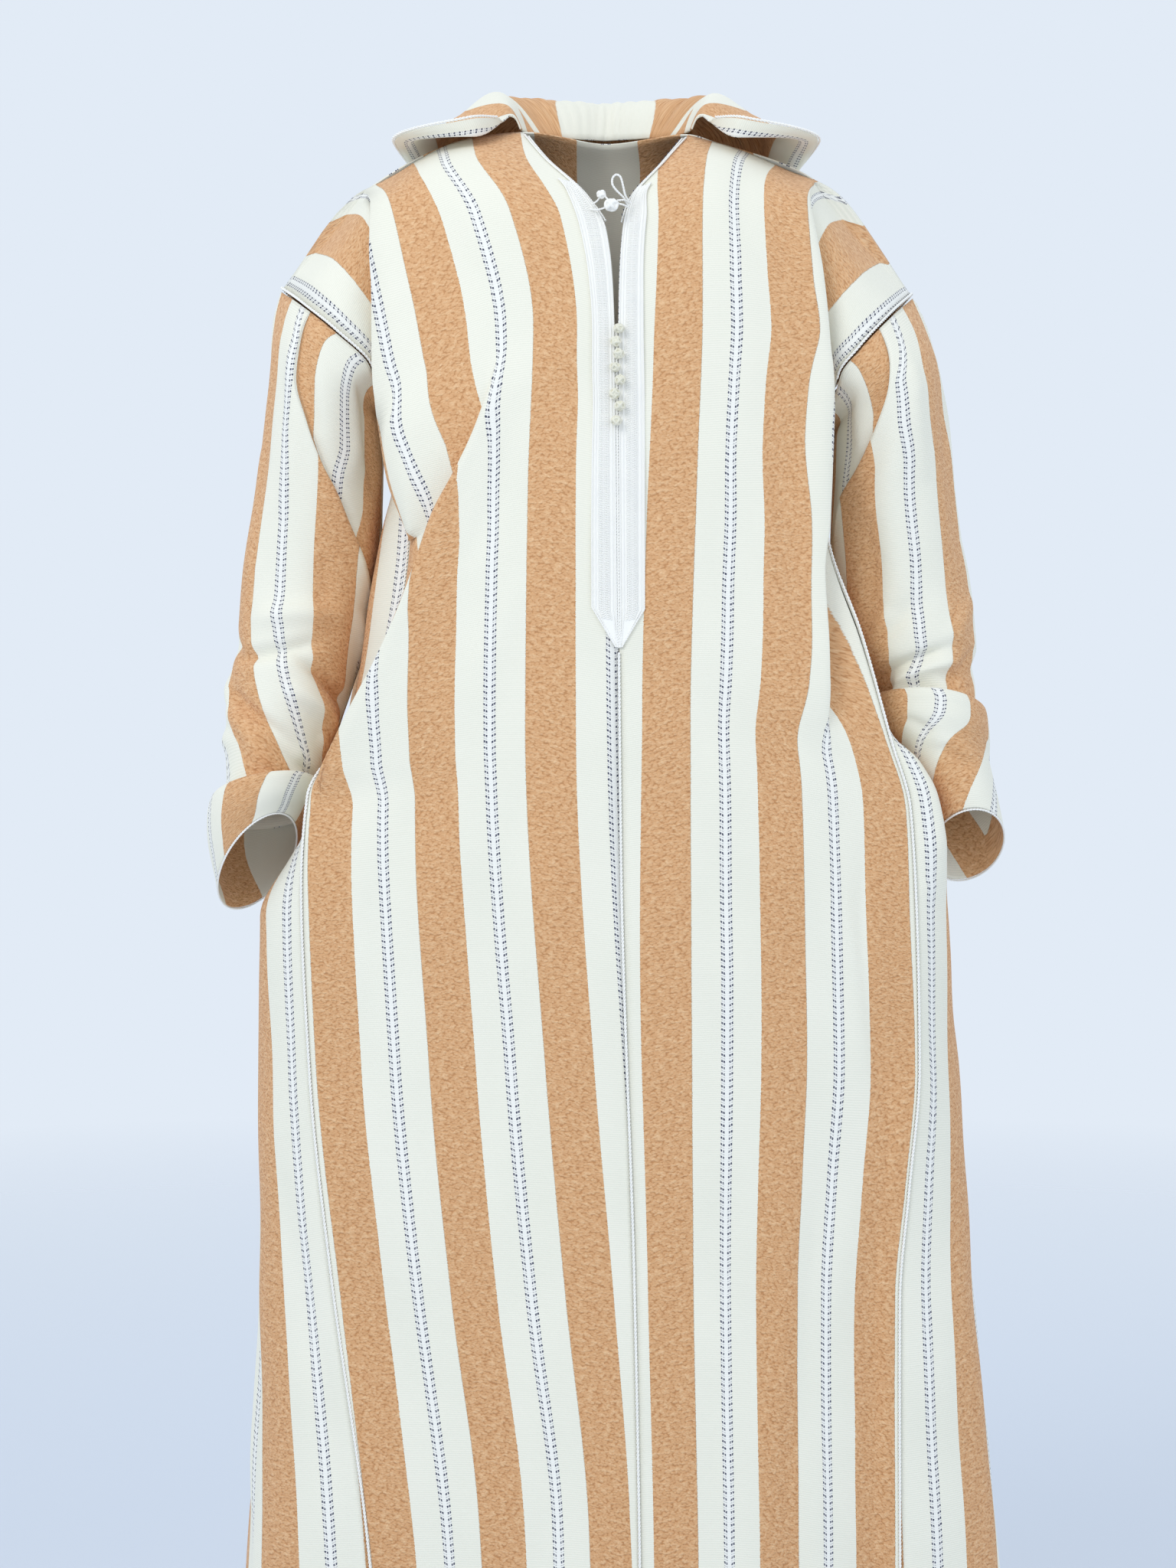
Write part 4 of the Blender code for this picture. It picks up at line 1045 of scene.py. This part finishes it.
places, u, v = rows_of(np.linspace(TOP, HEM, 236), back_columns, back_row)
calm = calm_sides(u, 15, 15) * np.clip((v - 4) / 30, 0, 1)
places = lie(places, 1, CREASES_BACK, u, v, 31, calm, waves=2.6)
back = lay_sheet("back_panel", places, u - FIRST_CAMEL, v, 1)

# %% [markdown]
# ## The gores
# Each side has one gore, a long wedge from the underarm to the hem. It gives the robe its
# width to walk in. Its stripes run with its middle, so they meet the seams at a slant.

# %% Gores
CREASES_GORE = {
    LEFT: (
        (60, 330, 66, 640, 12, 2.6), (110, 380, 96, 700, 12, -2.8), (90, 620, 112, 1240, 14, 3.4),
        (150, 600, 170, 1390, 14, -3.4), (50, 820, 56, 1400, 12, -2.6),
        (210, 900, 236, 1400, 13, 3.4),
    ),
    RIGHT: (
        (56, 320, 70, 600, 12, 2.6), (104, 420, 98, 760, 12, -2.6), (84, 660, 104, 1300, 14, 3.4),
        (140, 560, 160, 1340, 14, -3.2), (58, 900, 66, 1400, 12, 2.6),
        (216, 860, 250, 1400, 13, -3.4),
    ),
}
GORE_SLANT = 0.03     # how much the stripes lean, for each millimetre down

for side, word in SIDES:
    places, u, v = rows_of(
        np.linspace(ARMHOLE + 2.5, HEM, 228),
        lambda v: np.linspace(2 * SEAM, gore_width(v) - 2 * SEAM, 48),
        lambda v, u: gore_row(side, v, u))
    calm = calm_sides(u, 15, 15) * np.clip((v - 300) / 80, 0, 1)
    places = lie(places, -side, CREASES_GORE[side], u, v, 51 + side, calm, waves=2.2)
    starts = 42 + (v - 620) * GORE_SLANT
    gore = lay_sheet(f"gore_{word}", places, u - starts, v, -side)

# %% [markdown]
# ## The sleeves
# A sleeve's stripes run down the arm, and a long tuck crosses them from the armhole to the
# inside of the elbow: its outer layer lies over the inner one and hides a strip of cloth. The
# tables say where the tuck's edge and the camel stripes lie at each place along the arm, and
# how the turned cuff differs.

# %% Tuck, stripes and creases of the sleeves
# ---- the tuck's edge: s along the arm, place round the arm, rise of the upper layer --------
TUCK = {
    LEFT: (
        (0, 80, 1.0), (29, 82, 2.4), (61, 83, 3.0), (98, 93, 3.0), (136, 106, 3.0),
        (160, 118, 3.2), (185, 130, 3.2), (222, 152, 2.6), (262, 172, 1.0), (300, 176, 0),
        (560, 150, 0),
    ),
    RIGHT: (
        (0, 90, 0.5), (31, 103, 2.2), (67, 113, 3.0), (99, 124, 3.0), (124, 136, 3.2),
        (161, 165, 3.0), (200, 176, 1.2), (240, 178, 0), (530, 150, 0),
    ),
}
# ---- where a camel stripe starts round the arm, at s: on the upper layer, on the lower -----
STRIPES = {
    LEFT: (
        (0, 95, 78), (13, 100, 70), (29, 105, 66), (62, 105, 61), (111, 102, 60), (146, 103, 54),
        (167, 103, 54), (199, 103, 48), (243, 104, 52), (290, 106, 92), (329, 110, 108),
        (384, 121, 121), (410, 136, 136), (436, 148, 148), (470, 150, 150), (524, 146, 146),
        (560, 142, 142),
    ),
    RIGHT: (
        (0, 96, 92), (13, 104, 89), (54, 126, 88), (88, 124, 86), (133, 118, 88), (202, 118, 96),
        (250, 119, 116), (283, 117, 117), (335, 110, 110), (398, 112, 112), (432, 117, 117),
        (472, 134, 134), (510, 156, 156), (530, 166, 166),
    ),
}
# ---- where the turned cuff starts along the arm, how far its stripes slip on its back ------
CUFF = {LEFT: (430, 22), RIGHT: (372, 38)}
CALM_CUFF = {LEFT: 418, RIGHT: 362}    # creases are half as high past this place along the arm
# ---- creases: place round the arm and s of both ends, half width, height -------------------
CREASES_SLEEVE = {
    LEFT: (
        (66, 4, 72, 190, 9, 2.6), (52, 30, 44, 230, 12, -2.0), (30, 330, 116, 298, 7, -5.4),
        (50, 290, 140, 268, 12, 4.0), (92, 318, 170, 350, 7, -6.0), (84, 350, 160, 384, 10, 4.6),
        (20, 352, 96, 402, 7, -4.6), (60, 400, 146, 412, 6, -3.2), (150, 262, 178, 352, 8, 3.2),
        (14, 372, 70, 420, 8, 3.4), (0, 300, 40, 322, 9, -3.6), (116, 380, 160, 404, 6, 2.8),
        (18, 120, 30, 300, 16, 2.2), (112, 214, 128, 300, 9, -2.2), (-30, 330, 30, 372, 10, 3.0),
        (-120, 200, -60, 300, 14, 3.2), (-150, 300, -70, 360, 10, -3.4),
        (-90, 40, -70, 190, 16, 3.0), (-170, 60, -140, 240, 14, -3.0),
        (-60, 250, 0, 290, 10, -2.4), (96, 20, 104, 110, 7, -1.8), (138, 12, 130, 150, 9, 2.2),
        (150, 20, 168, 160, 8, -2.4), (-40, 395, 40, 402, 7, 2.4),
    ),
    RIGHT: (
        (80, 4, 74, 150, 9, 2.4), (54, 20, 40, 230, 13, -1.8), (96, 60, 92, 300, 12, 1.8),
        (130, 170, 148, 330, 10, -3.2), (50, 296, 134, 332, 8, -4.4), (36, 322, 116, 352, 9, 4.0),
        (20, 300, 60, 346, 8, -3.6), (90, 250, 130, 290, 10, -2.6), (100, 336, 150, 356, 6, -3.4),
        (110, 262, 160, 330, 9, 2.8), (20, 250, 70, 318, 10, 2.4), (14, 60, 22, 200, 12, 2.0),
        (-30, 280, 40, 340, 10, -2.8), (-120, 160, -60, 280, 14, 3.2),
        (-160, 250, -80, 320, 11, -3.2), (-90, 30, -80, 180, 16, 2.8),
        (-170, 40, -150, 200, 13, -2.8), (140, 20, 132, 110, 8, 2.0), (118, 14, 124, 80, 6, -1.8),
        (150, 340, 60, 352, 6, -2.2), (124, 428, 88, 462, 6, -3.4), (84, 470, 62, 500, 7, -3.6),
        (96, 446, 60, 486, 9, 3.0), (30, 440, 10, 500, 9, -2.4),
    ),
}


print("tuck rows:", len(TUCK[LEFT]), len(TUCK[RIGHT]))

# %% [markdown]
# One column of the grid follows the tuck's edge and the next one lies just beside it, lower
# down, so that the stripes stop sharply at the edge, as cloth does. Two separate layers would
# need a seam of their own. The grid is cut open along the inner side, where the real seam is,
# and joined there after its map is laid.

# %% Sleeves
UPPER, LOWER = 92, 34    # columns before and after the tuck's edge
ON_UPPER = np.arange(UPPER + LOWER) < UPPER
FINE = np.linspace(-0.5, 0.5, 193)    # turns used to measure round the arm, 0 in the middle


def columns_beside(edge):
    """Turns round the arm: the upper columns up to the tuck's edge, the lower ones after it."""
    return np.concatenate((np.linspace(-0.5, edge - 0.0006, UPPER),
                           np.linspace(edge + 0.0006, 0.5, LOWER)))


def tuck_step(arc, edge, rise):
    """Height of the two layers: a rounded lip over the edge and a hollow beside it."""
    off = arc - edge
    lip = rise * (1 - np.clip(-off / 22, 0, 1)) ** 1.6
    hollow = -0.75 * rise * (1 - np.clip(off / 16, 0, 1)) ** 1.6
    return np.where(ON_UPPER, lip, hollow)


def sleeve_line(side, s, fine_ring):
    """At s along the arm: each column's place, arc round the arm, stripe and tuck's height."""
    arc_at = run_length(sleeve_row(side, s, FINE, fine_ring))
    arc_at -= arc_at[len(FINE) // 2]
    edge, rise = line_at(TUCK[side], s)
    turn = float(np.clip(np.interp(edge, arc_at, FINE), 0.05, 0.46))
    turns = columns_beside(turn)
    ring = np.stack([np.interp(turns, FINE, axis) for axis in fine_ring.T], axis=1)
    arc = np.interp(turns, FINE, arc_at)
    upper, lower = line_at(STRIPES[side], s)
    cuff_from, cuff_slip = CUFF[side]
    slip = cuff_slip * np.clip((s - cuff_from) / 30, 0, 1) * np.clip(-arc / 30, 0, 1)
    stripe = arc - np.where(ON_UPPER, upper, lower) + slip
    step = tuck_step(arc, float(np.interp(turn, FINE, arc_at)), rise)
    return sleeve_row(side, s, turns, ring), arc, stripe, step


for side, word in SIDES:
    last = SLEEVE[side][-1][0]
    fine_ring = np.array([armhole_ring(side, turn) for turn in FINE])
    along = np.concatenate((np.linspace(2.0, 330, 92)[:-1], np.linspace(330, last, 100)))
    lines = [sleeve_line(side, s, fine_ring) for s in along]
    places, arc, stripe, steps_up = [np.array(column) for column in zip(*lines)]
    v = np.repeat(along[:, None], UPPER + LOWER, axis=1)
    calm = np.clip((v - 6) / 40, 0, 1) * np.clip((last - v) / 12, 0, 1)
    calm = calm * np.where(v > CALM_CUFF[side], 0.5, 1.0)
    calm = calm * np.clip((arc[:, -1:] - np.abs(arc)) / 20, 0, 1)
    laps = steps_up * np.clip(v / 8, 0.2, 1)
    places = lie(places, side, CREASES_SLEEVE[side], arc, v, 71 + side, calm * 1.5, waves=1.8,
                 laps=laps)
    sleeve = lay_sheet(f"sleeve_{word}", places, stripe, v, side, joined=True)

# %% [markdown]
# ## The hood
# The stripes of the hood run parallel to its opening edge: ivory with its dashes first, then
# camel. Their place is the distance from the edge measured over the cloth, which is what a
# cutter would see.

# %% Hood
CREASES_HOOD = (
    (20, 120, 24, 300, 8, -2.4), (60, 150, 72, 330, 12, 3.0), (40, 330, 66, 420, 10, -3.4),
    (30, 420, 58, 520, 11, 3.4), (90, 300, 130, 480, 14, -3.4), (26, 560, 30, 700, 9, 2.6),
    (70, 520, 88, 700, 12, -3.0), (140, 260, 210, 420, 16, 3.6), (160, 420, 240, 500, 15, -3.6),
    (120, 480, 190, 600, 14, 3.2), (250, 360, 330, 440, 16, 3.0))
EDGE_TO_CAMEL = 41.0    # from the opening edge to the first camel stripe
around = np.linspace(0.0, 1.0, 161)
inward = np.linspace(0.0, 1.0, 93)
places = np.array([hood_row(p, inward) for p in around])
steps = np.linalg.norm(np.diff(places, axis=1), axis=2)
far = np.concatenate((np.zeros((len(around), 1)), np.cumsum(steps, axis=1)), axis=1)
from_edge = far[:, -1:] - far
along_edge = run_length(places[:, -1])
edge_far = np.repeat(along_edge[:, None], len(inward), axis=1)

# behind the neck the cloth is gathered into the collar, so its stripes fan out there
half_round = np.minimum(around, 1 - around)[:, None]
gathered = eased(np.clip((half_round - 0.22) / 0.08, 0, 1))
at_peak = np.array([np.interp(HOOD_SHARE["peak"], inward, row) for row in from_edge])[:, None]
at_neck = 74 + 50 * np.clip((half_round - 0.35) / 0.15, 0, 1)
rising = np.clip(inward / HOOD_SHARE["over"], 0, 1)
falling = np.clip((inward - HOOD_SHARE["over"]) / (HOOD_SHARE["peak"] - HOOD_SHARE["over"]), 0, 1)
collar = (at_neck * (1 - rising) + 62 * rising) * (1 - falling) + at_peak * falling
collar = np.where(inward > HOOD_SHARE["peak"], from_edge, collar)
hood_stripe = from_edge * (1 - gathered) + collar * gathered
calm = np.clip(edge_far / 60, 0, 1) * np.clip((edge_far[-1, 0] - edge_far) / 60, 0, 1)
calm = calm * np.clip(far / 12, 0, 1)
places = lie(places, 1, CREASES_HOOD, from_edge, edge_far, 91, calm, waves=2.0)
hood = lay_sheet("hood", places, hood_stripe - EDGE_TO_CAMEL, edge_far, 1)

# %% [markdown]
# ## Cords
# The piping is a cord of two strands twisted together, about 2.5 mm thick. Each strand is a
# helix round the seam's line. Both strands go into one bevelled curve, which is the shortest
# way to a long thin round shape, and it is turned into a mesh so that it can be placed.

# %% Twisted cord
def frames_along(path):
    """Two steady unit normals along a path of points."""
    tangent = np.gradient(path, axis=0)
    tangent /= np.linalg.norm(tangent, axis=1, keepdims=True)
    guide = (0.13, 0.05, 0.99) if abs(tangent[0, 2]) < 0.7 else (0.1, 0.99, 0.1)
    first = [np.cross(tangent[0], guide)]
    for ahead in tangent[1:]:
        first.append(first[-1] - ahead * np.dot(first[-1], ahead))
    first = np.array([f / np.linalg.norm(f) for f in first])
    return first, np.cross(tangent, first)


def evenly(points, step, closed=False):
    """The same line with points a step apart."""
    points = np.asarray(points, float)
    if closed:
        points = np.vstack((points, points[:1]))
    length = run_length(points)
    knots = list(zip(length, points))
    return through(knots, np.linspace(0, length[-1], max(int(length[-1] / step), 3)))


def strands(name, lines, thick, made, node, closed=False):
    """Round strands along lines of points, in millimetres, as one mesh piece."""
    curve = bpy.data.curves.new(name, "CURVE")
    curve.dimensions = "3D"
    curve.bevel_depth = thick * 0.0005
    curve.bevel_resolution = 1
    curve.use_fill_caps = not closed
    for line in lines:
        spline = curve.splines.new("POLY")
        spline.points.add(len(line) - 1)
        flat = np.ones((len(line), 4))
        flat[:, :3] = np.asarray(line) * 0.001
        spline.points.foreach_set("co", flat.ravel())
        spline.use_cyclic_u = closed
    shape = bpy.data.objects.new(name + "_line", curve)
    mesh = bpy.data.meshes.new_from_object(shape)
    bpy.data.objects.remove(shape, do_unlink=True)
    mesh.name = name
    mesh.materials.clear()
    mesh.materials.append(made)
    mesh.shade_smooth()
    piece = added(name, mesh)
    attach(piece, "root")
    if node:
        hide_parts(node)
    return piece


def twisted(points, radius, pitch, step=1.0, closed=False):
    """Two helical strands round a line of points."""
    path = evenly(points, step, closed)
    first, second = frames_along(path)
    length = np.arange(len(path)) * step
    turns_made = max(round(length[-1] / pitch), 1) if closed else length[-1] / pitch
    angle = 2 * np.pi * turns_made * length / length[-1]
    lines = []
    for phase in (0, np.pi):
        reach = np.cos(angle + phase)[:, None] * first + np.sin(angle + phase)[:, None] * second
        lines.append(path + reach * radius * 0.5)
    return lines


print("strands in a cord:", len(twisted([(0, 0, 0), (0, 0, 50)], 1.2, 6.0)))

# %% [markdown]
# ## Piping on the long seams
# The side seams and the seam below the slit carry a white cord on their outside. Each cord
# follows its seam's own line, moved out along the normals of the cloth on both sides of it,
# so that it lies on the seam instead of sinking into it.

# %% Side seams and centre seam
def unit(vector):
    """The vector, made one long."""
    return vector / max(float(np.linalg.norm(vector)), 1e-9)


def over(row, u, v, high):
    """Places over a sheet's spots u at v, raised by high on the side of its normal."""
    u = np.atleast_1d(np.asarray(u, float))
    across = row(v, u + 2) - row(v, u - 2)
    fall = row(v + 2, u) - row(v - 2, u)
    normal = np.cross(across, fall)
    normal /= np.linalg.norm(normal, axis=1, keepdims=True)
    return row(v, u) + normal * np.atleast_1d(high)[:, None]


def front_over(side, u, v, high):
    """Places over a front, raised by high to its outside."""
    return over(lambda b, a: front_row(side, b, a), u, v, -side * np.atleast_1d(high))


PIPE_LIFT = 1.6       # the piping's middle stands this far out from the seam


def seam_line(side, first, last, count):
    """Middle of the piping over the side seam, between front and gore."""
    spots = []
    for v in np.linspace(first, last, count):
        outer = front_edges(side, v)[1]
        out = front_over(side, outer - 3, v, 1) - front_row(side, v, outer - 3)
        away = over(lambda b, a: gore_row(side, b, a), 3, v, -side) - gore_row(side, v, 3)
        spots.append(front_row(side, v, outer)[0] + unit(out[0] + away[0]) * PIPE_LIFT)
    return spots


def piping(name, line, node):
    """A cord of two strands: 1.2 mm twist, a turn each 6 mm, strands 1.3 mm thick."""
    strands(name, twisted(line, 1.2, 6.0), 1.3, white, node)


for side, word in SIDES:
    piping(f"side_piping_{word}_cord", seam_line(side, 240, HEM - 2, 90), f"side_piping_{word}")
centre = [slit_middle(v) + (0, -1.7, 0) for v in np.linspace(BRAID_TIP + 4, HEM - 2, 60)]
piping("centre_seam_cord", centre, "centre_cord")
print("side seams and centre seam corded")

# %% [markdown]
# ## Piping on the armholes, the hood and the cuffs
# The same cord edges the armholes, from behind over the shoulder to the front, and the hood's
# opening. Each cuff has a finer one that closes on itself, so its twist has to come round to
# a whole number of turns.

# %% Armholes, hood edge and cuffs
PIPED_BEHIND, PIPED_BEFORE = 172, 148    # from the shoulder, measured down the armhole


def armhole_line(side):
    """The piping's line, 2 mm outside the armhole seam, from behind over the shoulder."""
    middle = np.mean([armhole_ring(side, turn / 24) for turn in range(24)], axis=0)
    spots = []
    for at in np.linspace(-PIPED_BEHIND, PIPED_BEFORE, 60):
        place = armhole_ring(side, at / ARMHOLE_ROUND)
        spots.append(place + unit(place - middle) * 2.0)
    return spots


for side, word in SIDES:
    piping(f"armhole_piping_{word}_cord", armhole_line(side), f"armhole_piping_{word}")
rim = []
for p in np.linspace(0.003, 0.997, 120):
    edge, inside = hood_row(p, (1.0, 0.96))
    rim.append(edge + unit(edge - inside) * 1.7)
piping("hood_edge_cord", rim, "hood_piping")
turns_round = np.linspace(0, 1, 72, endpoint=False)
for side, word in SIDES:
    last = SLEEVE[side][-1][0]
    mouth, above = [sleeve_row(side, s, turns_round, None) for s in (last, last - 12)]
    spots = [m + unit(m - a) * 1.2 for m, a in zip(mouth, above)]
    strands(f"cuff_piping_{word}_cord", twisted(spots, 0.9, 5.0, closed=True), 1.1, white,
            f"cuff_piping_{word}", closed=True)
print("armholes, hood edge and cuffs corded")

# %% [markdown]
# ## The neck edge
# Two fine cords lie side by side along the neck slit's edge, from the braid up to the hood.
# On the right a row of tiny dark stitches runs beside them, where a dashed line of the cloth
# comes to the edge.

# %% Neck cords
NECK_CORDS = ((-1.6, 0.2), (1.2, 1.5))    # millimetres in from the edge, and out from the cloth


def neck_line(side, off, high):
    """A line along the neck edge, off into the front and raised high."""
    return [front_over(side, front_edges(side, v)[0] + off, v, high)[0]
            for v in np.linspace(6, BRAID_TOP, 40)]


for side, word in SIDES:
    lines = [line for off, high in NECK_CORDS
             for line in twisted(neck_line(side, off, high), 0.9, 4.5, 0.8)]
    strands(f"neck_cord_{word}_pair", lines, 1.0, white, f"neck_cord_{word}")
stitches = []
for v in np.linspace(8, 80, 19):
    inner = front_edges(RIGHT, v)[0]
    stitches.append([front_over(RIGHT, inner - 3.4, v + a, 0.5)[0] for a in (0, 1.0, 2.0)])
dark = cord_white("dark_stitch", linear(58, 62, 82), linear(44, 46, 62), 0.7)
strands("neck_stitches", stitches, 0.9, dark, None)
print("neck edged; stitches:", len(stitches))

# %% [markdown]
# ## The braid
# The placket is two bands of hand-plaited braid, one on each side of the slit. Every band has
# smooth cords along both edges and a lace of crossing threads between them, which leaves a
# row of pinholes. The lace is made of waves that cross: threads of opposite phase, one rising
# where the other dips. The bands meet in a point below.

# %% Braid
LACE_PERIOD = 5.6
LACE_PHASES = np.arange(4) * np.pi / 2
NARROWEST = 1.2
BRAID_START = 60.0    # above the slit the band runs on up the neck edge, and narrows
# ---- cords: share across the band, height over the cloth, radius of the twist ---------------
EDGE_CORDS = ((0.03, 2.25, 0.8), (0.16, 2.2, 0.6), (0.84, 2.2, 0.6), (0.97, 2.25, 0.8))


def braid_share(v):
    """The band's width at v as a share of its full width."""
    point = np.clip((BRAID_TIP - v) / (BRAID_TIP - BRAID_SQUARE), 0, 1)
    return float(point * (0.45 + 0.55 * eased(np.clip((v - BRAID_START) / 34, 0, 1))))


def braid_row(side, v, shares, high):
    """Spots across the band: share 0 at the slit and 1 at the outer edge."""
    inner = front_edges(side, v)[0] + 1.0
    reach = NARROWEST + (BRAID_WIDTH - NARROWEST) * braid_share(v)
    return front_over(side, inner + np.asarray(shares) * reach, v, high)


def braid_band(side):
    """All the lines of a band: its edge cords and the threads of its lace."""
    shares, highs, radii = zip(*EDGE_CORDS)
    edges = np.array([braid_row(side, v, shares, highs)
                      for v in np.linspace(BRAID_START, BRAID_TIP, 160)])
    lines = []
    for place, radius in enumerate(radii):
        lines += twisted(edges[:, place], radius, 4.0, 0.9)
    lace = []
    for v in np.arange(BRAID_START + 1, BRAID_SQUARE + 8, 0.85):
        turn = 2 * np.pi * v / LACE_PERIOD + LACE_PHASES
        shares = np.concatenate((0.39 + 0.13 * np.sin(turn), 0.61 + 0.13 * np.sin(turn)))
        lace.append(braid_row(side, v, shares, 2.2 + 0.3 * np.cos(np.tile(turn, 2))))
    return lines + list(np.array(lace).transpose(1, 0, 2))


for side, word in SIDES:
    base = np.array([braid_row(side, v, np.linspace(0, 1, 9), 1.55)
                     for v in np.linspace(BRAID_START, BRAID_TIP, 120)])
    ground = grid_piece(f"braid_{word}_ground", base, -side, 0.9, (white,))
    strands(f"braid_{word}_lace", braid_band(side), 0.95, white, f"braid_{word}")
underlay = [slit_middle(v) + (0, -1.5, 0) for v in np.linspace(BUTTON_FIRST - 4, BRAID_TIP, 80)]
strands("slit_underlay", twisted(underlay, 1.1, 5.0), 1.5, white, None)
print("braid laid on both sides of the slit, which is closed from the first button down")

# %% [markdown]
# ## Knot buttons
# Each button is a ball knot of one silky cord that goes over and under itself. On a sphere
# that is a wave that winds round three times with four crests, and its height wavers where it
# crosses. A small core closes the ball.

# %% Knots
WINDS, CRESTS = 3, 4


def ball_knot(centre, radius, tilt):
    """The cord of a ball knot round a centre, in millimetres, as a closed line."""
    t = np.linspace(0, 2 * np.pi, 150, endpoint=False)
    longitude, latitude = WINDS * t, 0.95 * np.sin(CRESTS * t)
    far = radius * (0.80 + 0.09 * np.cos(2 * CRESTS * t + 0.4))
    points = np.stack((np.cos(latitude) * np.cos(longitude), np.cos(latitude) * np.sin(longitude),
                       np.sin(latitude)), axis=1) * far[:, None]
    turned = np.array(Matrix.Rotation(tilt, 3, "X") @ Matrix.Rotation(tilt * 1.7, 3, "Z"))
    return points @ turned.T + np.asarray(centre)


def knot_piece(name, centre, radius, tilt, made, node):
    """A ball knot with a small core that closes it."""
    core = bmesh.new()
    bmesh.ops.create_icosphere(core, subdivisions=2, radius=radius * 0.00078)
    bmesh.ops.translate(core, verts=core.verts, vec=Vector(centre) * 0.001)
    piece = strands(name, [ball_knot(centre, radius, tilt)], radius * 0.52, made, node, closed=True)
    core.from_mesh(piece.data)
    core.to_mesh(piece.data)
    core.free()
    piece.data.shade_smooth()
    return piece


for number in range(BUTTON_COUNT):
    v = BUTTON_FIRST + number * BUTTON_PITCH
    sway = 1.7 * (-1) ** number + 0.6 * np.sin(number * 2.1)
    off = (0.4 + sway, -(BUTTON_PROUD + BUTTON_RADIUS), 0.5 * np.sin(number * 3.3))
    knot_piece(f"knot_button_{number + 1}", slit_middle(v) + off, BUTTON_RADIUS,
               0.4 + 0.9 * number, ivory_silk, f"button_{number + 1}")
print("buttons:", BUTTON_COUNT)

# %% [markdown]
# ## The toggle at the throat
# A round knot on the left edge holds a loop that comes from the right edge. The loop stands
# up a little beside it, and a smaller knot hangs at the end of the left cord. Short doubled
# cords carry both to the neck edges.

# %% Toggle
knot_piece("throat_knot", (-0.4, -108.5, -79.6), 5.4, 0.6, white, "toggle_knot")
knot_piece("throat_bead", (-8.5, -105.5, -70.5), 3.4, 1.3, white, None)
LOOP_ROUTE = ((14.5, -98, -76), (10.5, -104, -71), (8.6, -107, -64), (6.6, -108, -57.5),
              (3.2, -108, -55.6), (0.3, -108, -58.5), (0.4, -108, -63.5), (3.6, -107, -68.0),
              (9.0, -104, -72.8), (12.5, -98, -78))
route = through(list(enumerate(np.array(LOOP_ROUTE, float))), np.linspace(0, 9, 80))
strands("throat_loop", twisted(route, 0.9, 4.2, 0.8), 1.1, white, "toggle_loop")
# ---- short sagging cords: where each starts, passes and ends --------------------------------
LINKS = (((-17, -95, -80), (-9, -105, -82), (-3, -108, -80)),
         ((-16, -95, -76), (-12, -102, -75), (-9, -105, -72)),
         ((-7, -106, -68), (-5, -107, -73), (-2, -108, -76)),
         ((14, -98, -80), (9, -106, -79), (3, -108, -78)),
         ((13, -98, -76), (10, -105, -75), (4, -108, -76)))
links = []
for spots in LINKS:
    line = through(list(enumerate(np.array(spots, float))), np.linspace(0, 2, 24))
    links += twisted(line, 0.8, 4.0, 0.7)
strands("throat_cords", links, 0.95, white, None)
print("throat closed with a knot and its loop")

# %% [markdown]
# ## Room and light
# The room is plain and very pale, with a cool tinge. A wide floor fades out at its rim, so
# that no horizon shows. One large soft lamp stands high in front and to the left, a weaker
# one to the right and one behind, and the sky itself fills the shadows.

# %% Floor and light
FLOOR_RADIUS = 7.0    # metres; the floor is gone well before its rim
FLOOR_HEIGHT = -1.43
bm = bmesh.new()
bmesh.ops.create_circle(bm, cap_ends=True, cap_tris=False, segments=96, radius=FLOOR_RADIUS)
bmesh.ops.translate(bm, verts=bm.verts, vec=Vector((0, 0, FLOOR_HEIGHT)))
mesh = bpy.data.meshes.new("floor")
bm.to_mesh(mesh)
bm.free()
floor = added("floor", mesh)
pale = Desk("pale_floor")
spot = pale.node("ShaderNodeTexCoord").outputs["Object"]
flat_spot = pale.node("ShaderNodeVectorMath", {"operation": "MULTIPLY"}, {0: spot, 1: (1, 1, 0)})
far_out = pale.node("ShaderNodeVectorMath", {"operation": "LENGTH"}, {0: flat_spot.outputs[0]})
seen = Value(pale, far_out.outputs["Value"]).below(3.0, 3.6)
pale.feed(pale.shader.inputs["Base Color"], linear(212, 219, 229))
pale.feed(pale.shader.inputs["Roughness"], 0.9)
pale.feed(pale.shader.inputs["Alpha"], seen)
mesh.materials.append(pale.material)

world = bpy.data.worlds.new("pale_air")
world.use_nodes = True
air = world.node_tree.nodes["Background"]
air.inputs["Color"].default_value = linear(226, 235, 246)
air.inputs["Strength"].default_value = 1.0
scene.world = world
scene.view_settings.view_transform = "Standard"


def lamp(name, place, target, size, power, colour):
    """A round soft lamp of this size in metres and power in watts."""
    data = bpy.data.lights.new(name, "AREA")
    data.shape = "DISK"
    data.size = size
    data.energy = power
    data.color = colour
    made = added(name, data)
    made.location = place
    aim = Vector(target) - Vector(place)
    made.rotation_euler = aim.to_track_quat("-Z", "Y").to_euler()


lamp("key", (-1.7, -2.6, 1.5), (0, 0, -0.5), 1.6, 34, (1.0, 0.99, 0.97))
lamp("fill", (2.4, -2.4, 0.4), (0, 0, -0.6), 2.2, 9, (0.94, 0.97, 1.0))
lamp("rim", (0.6, 2.6, 1.6), (0, 0, -0.4), 1.8, 12, (0.97, 0.98, 1.0))
print("lamps: 3")
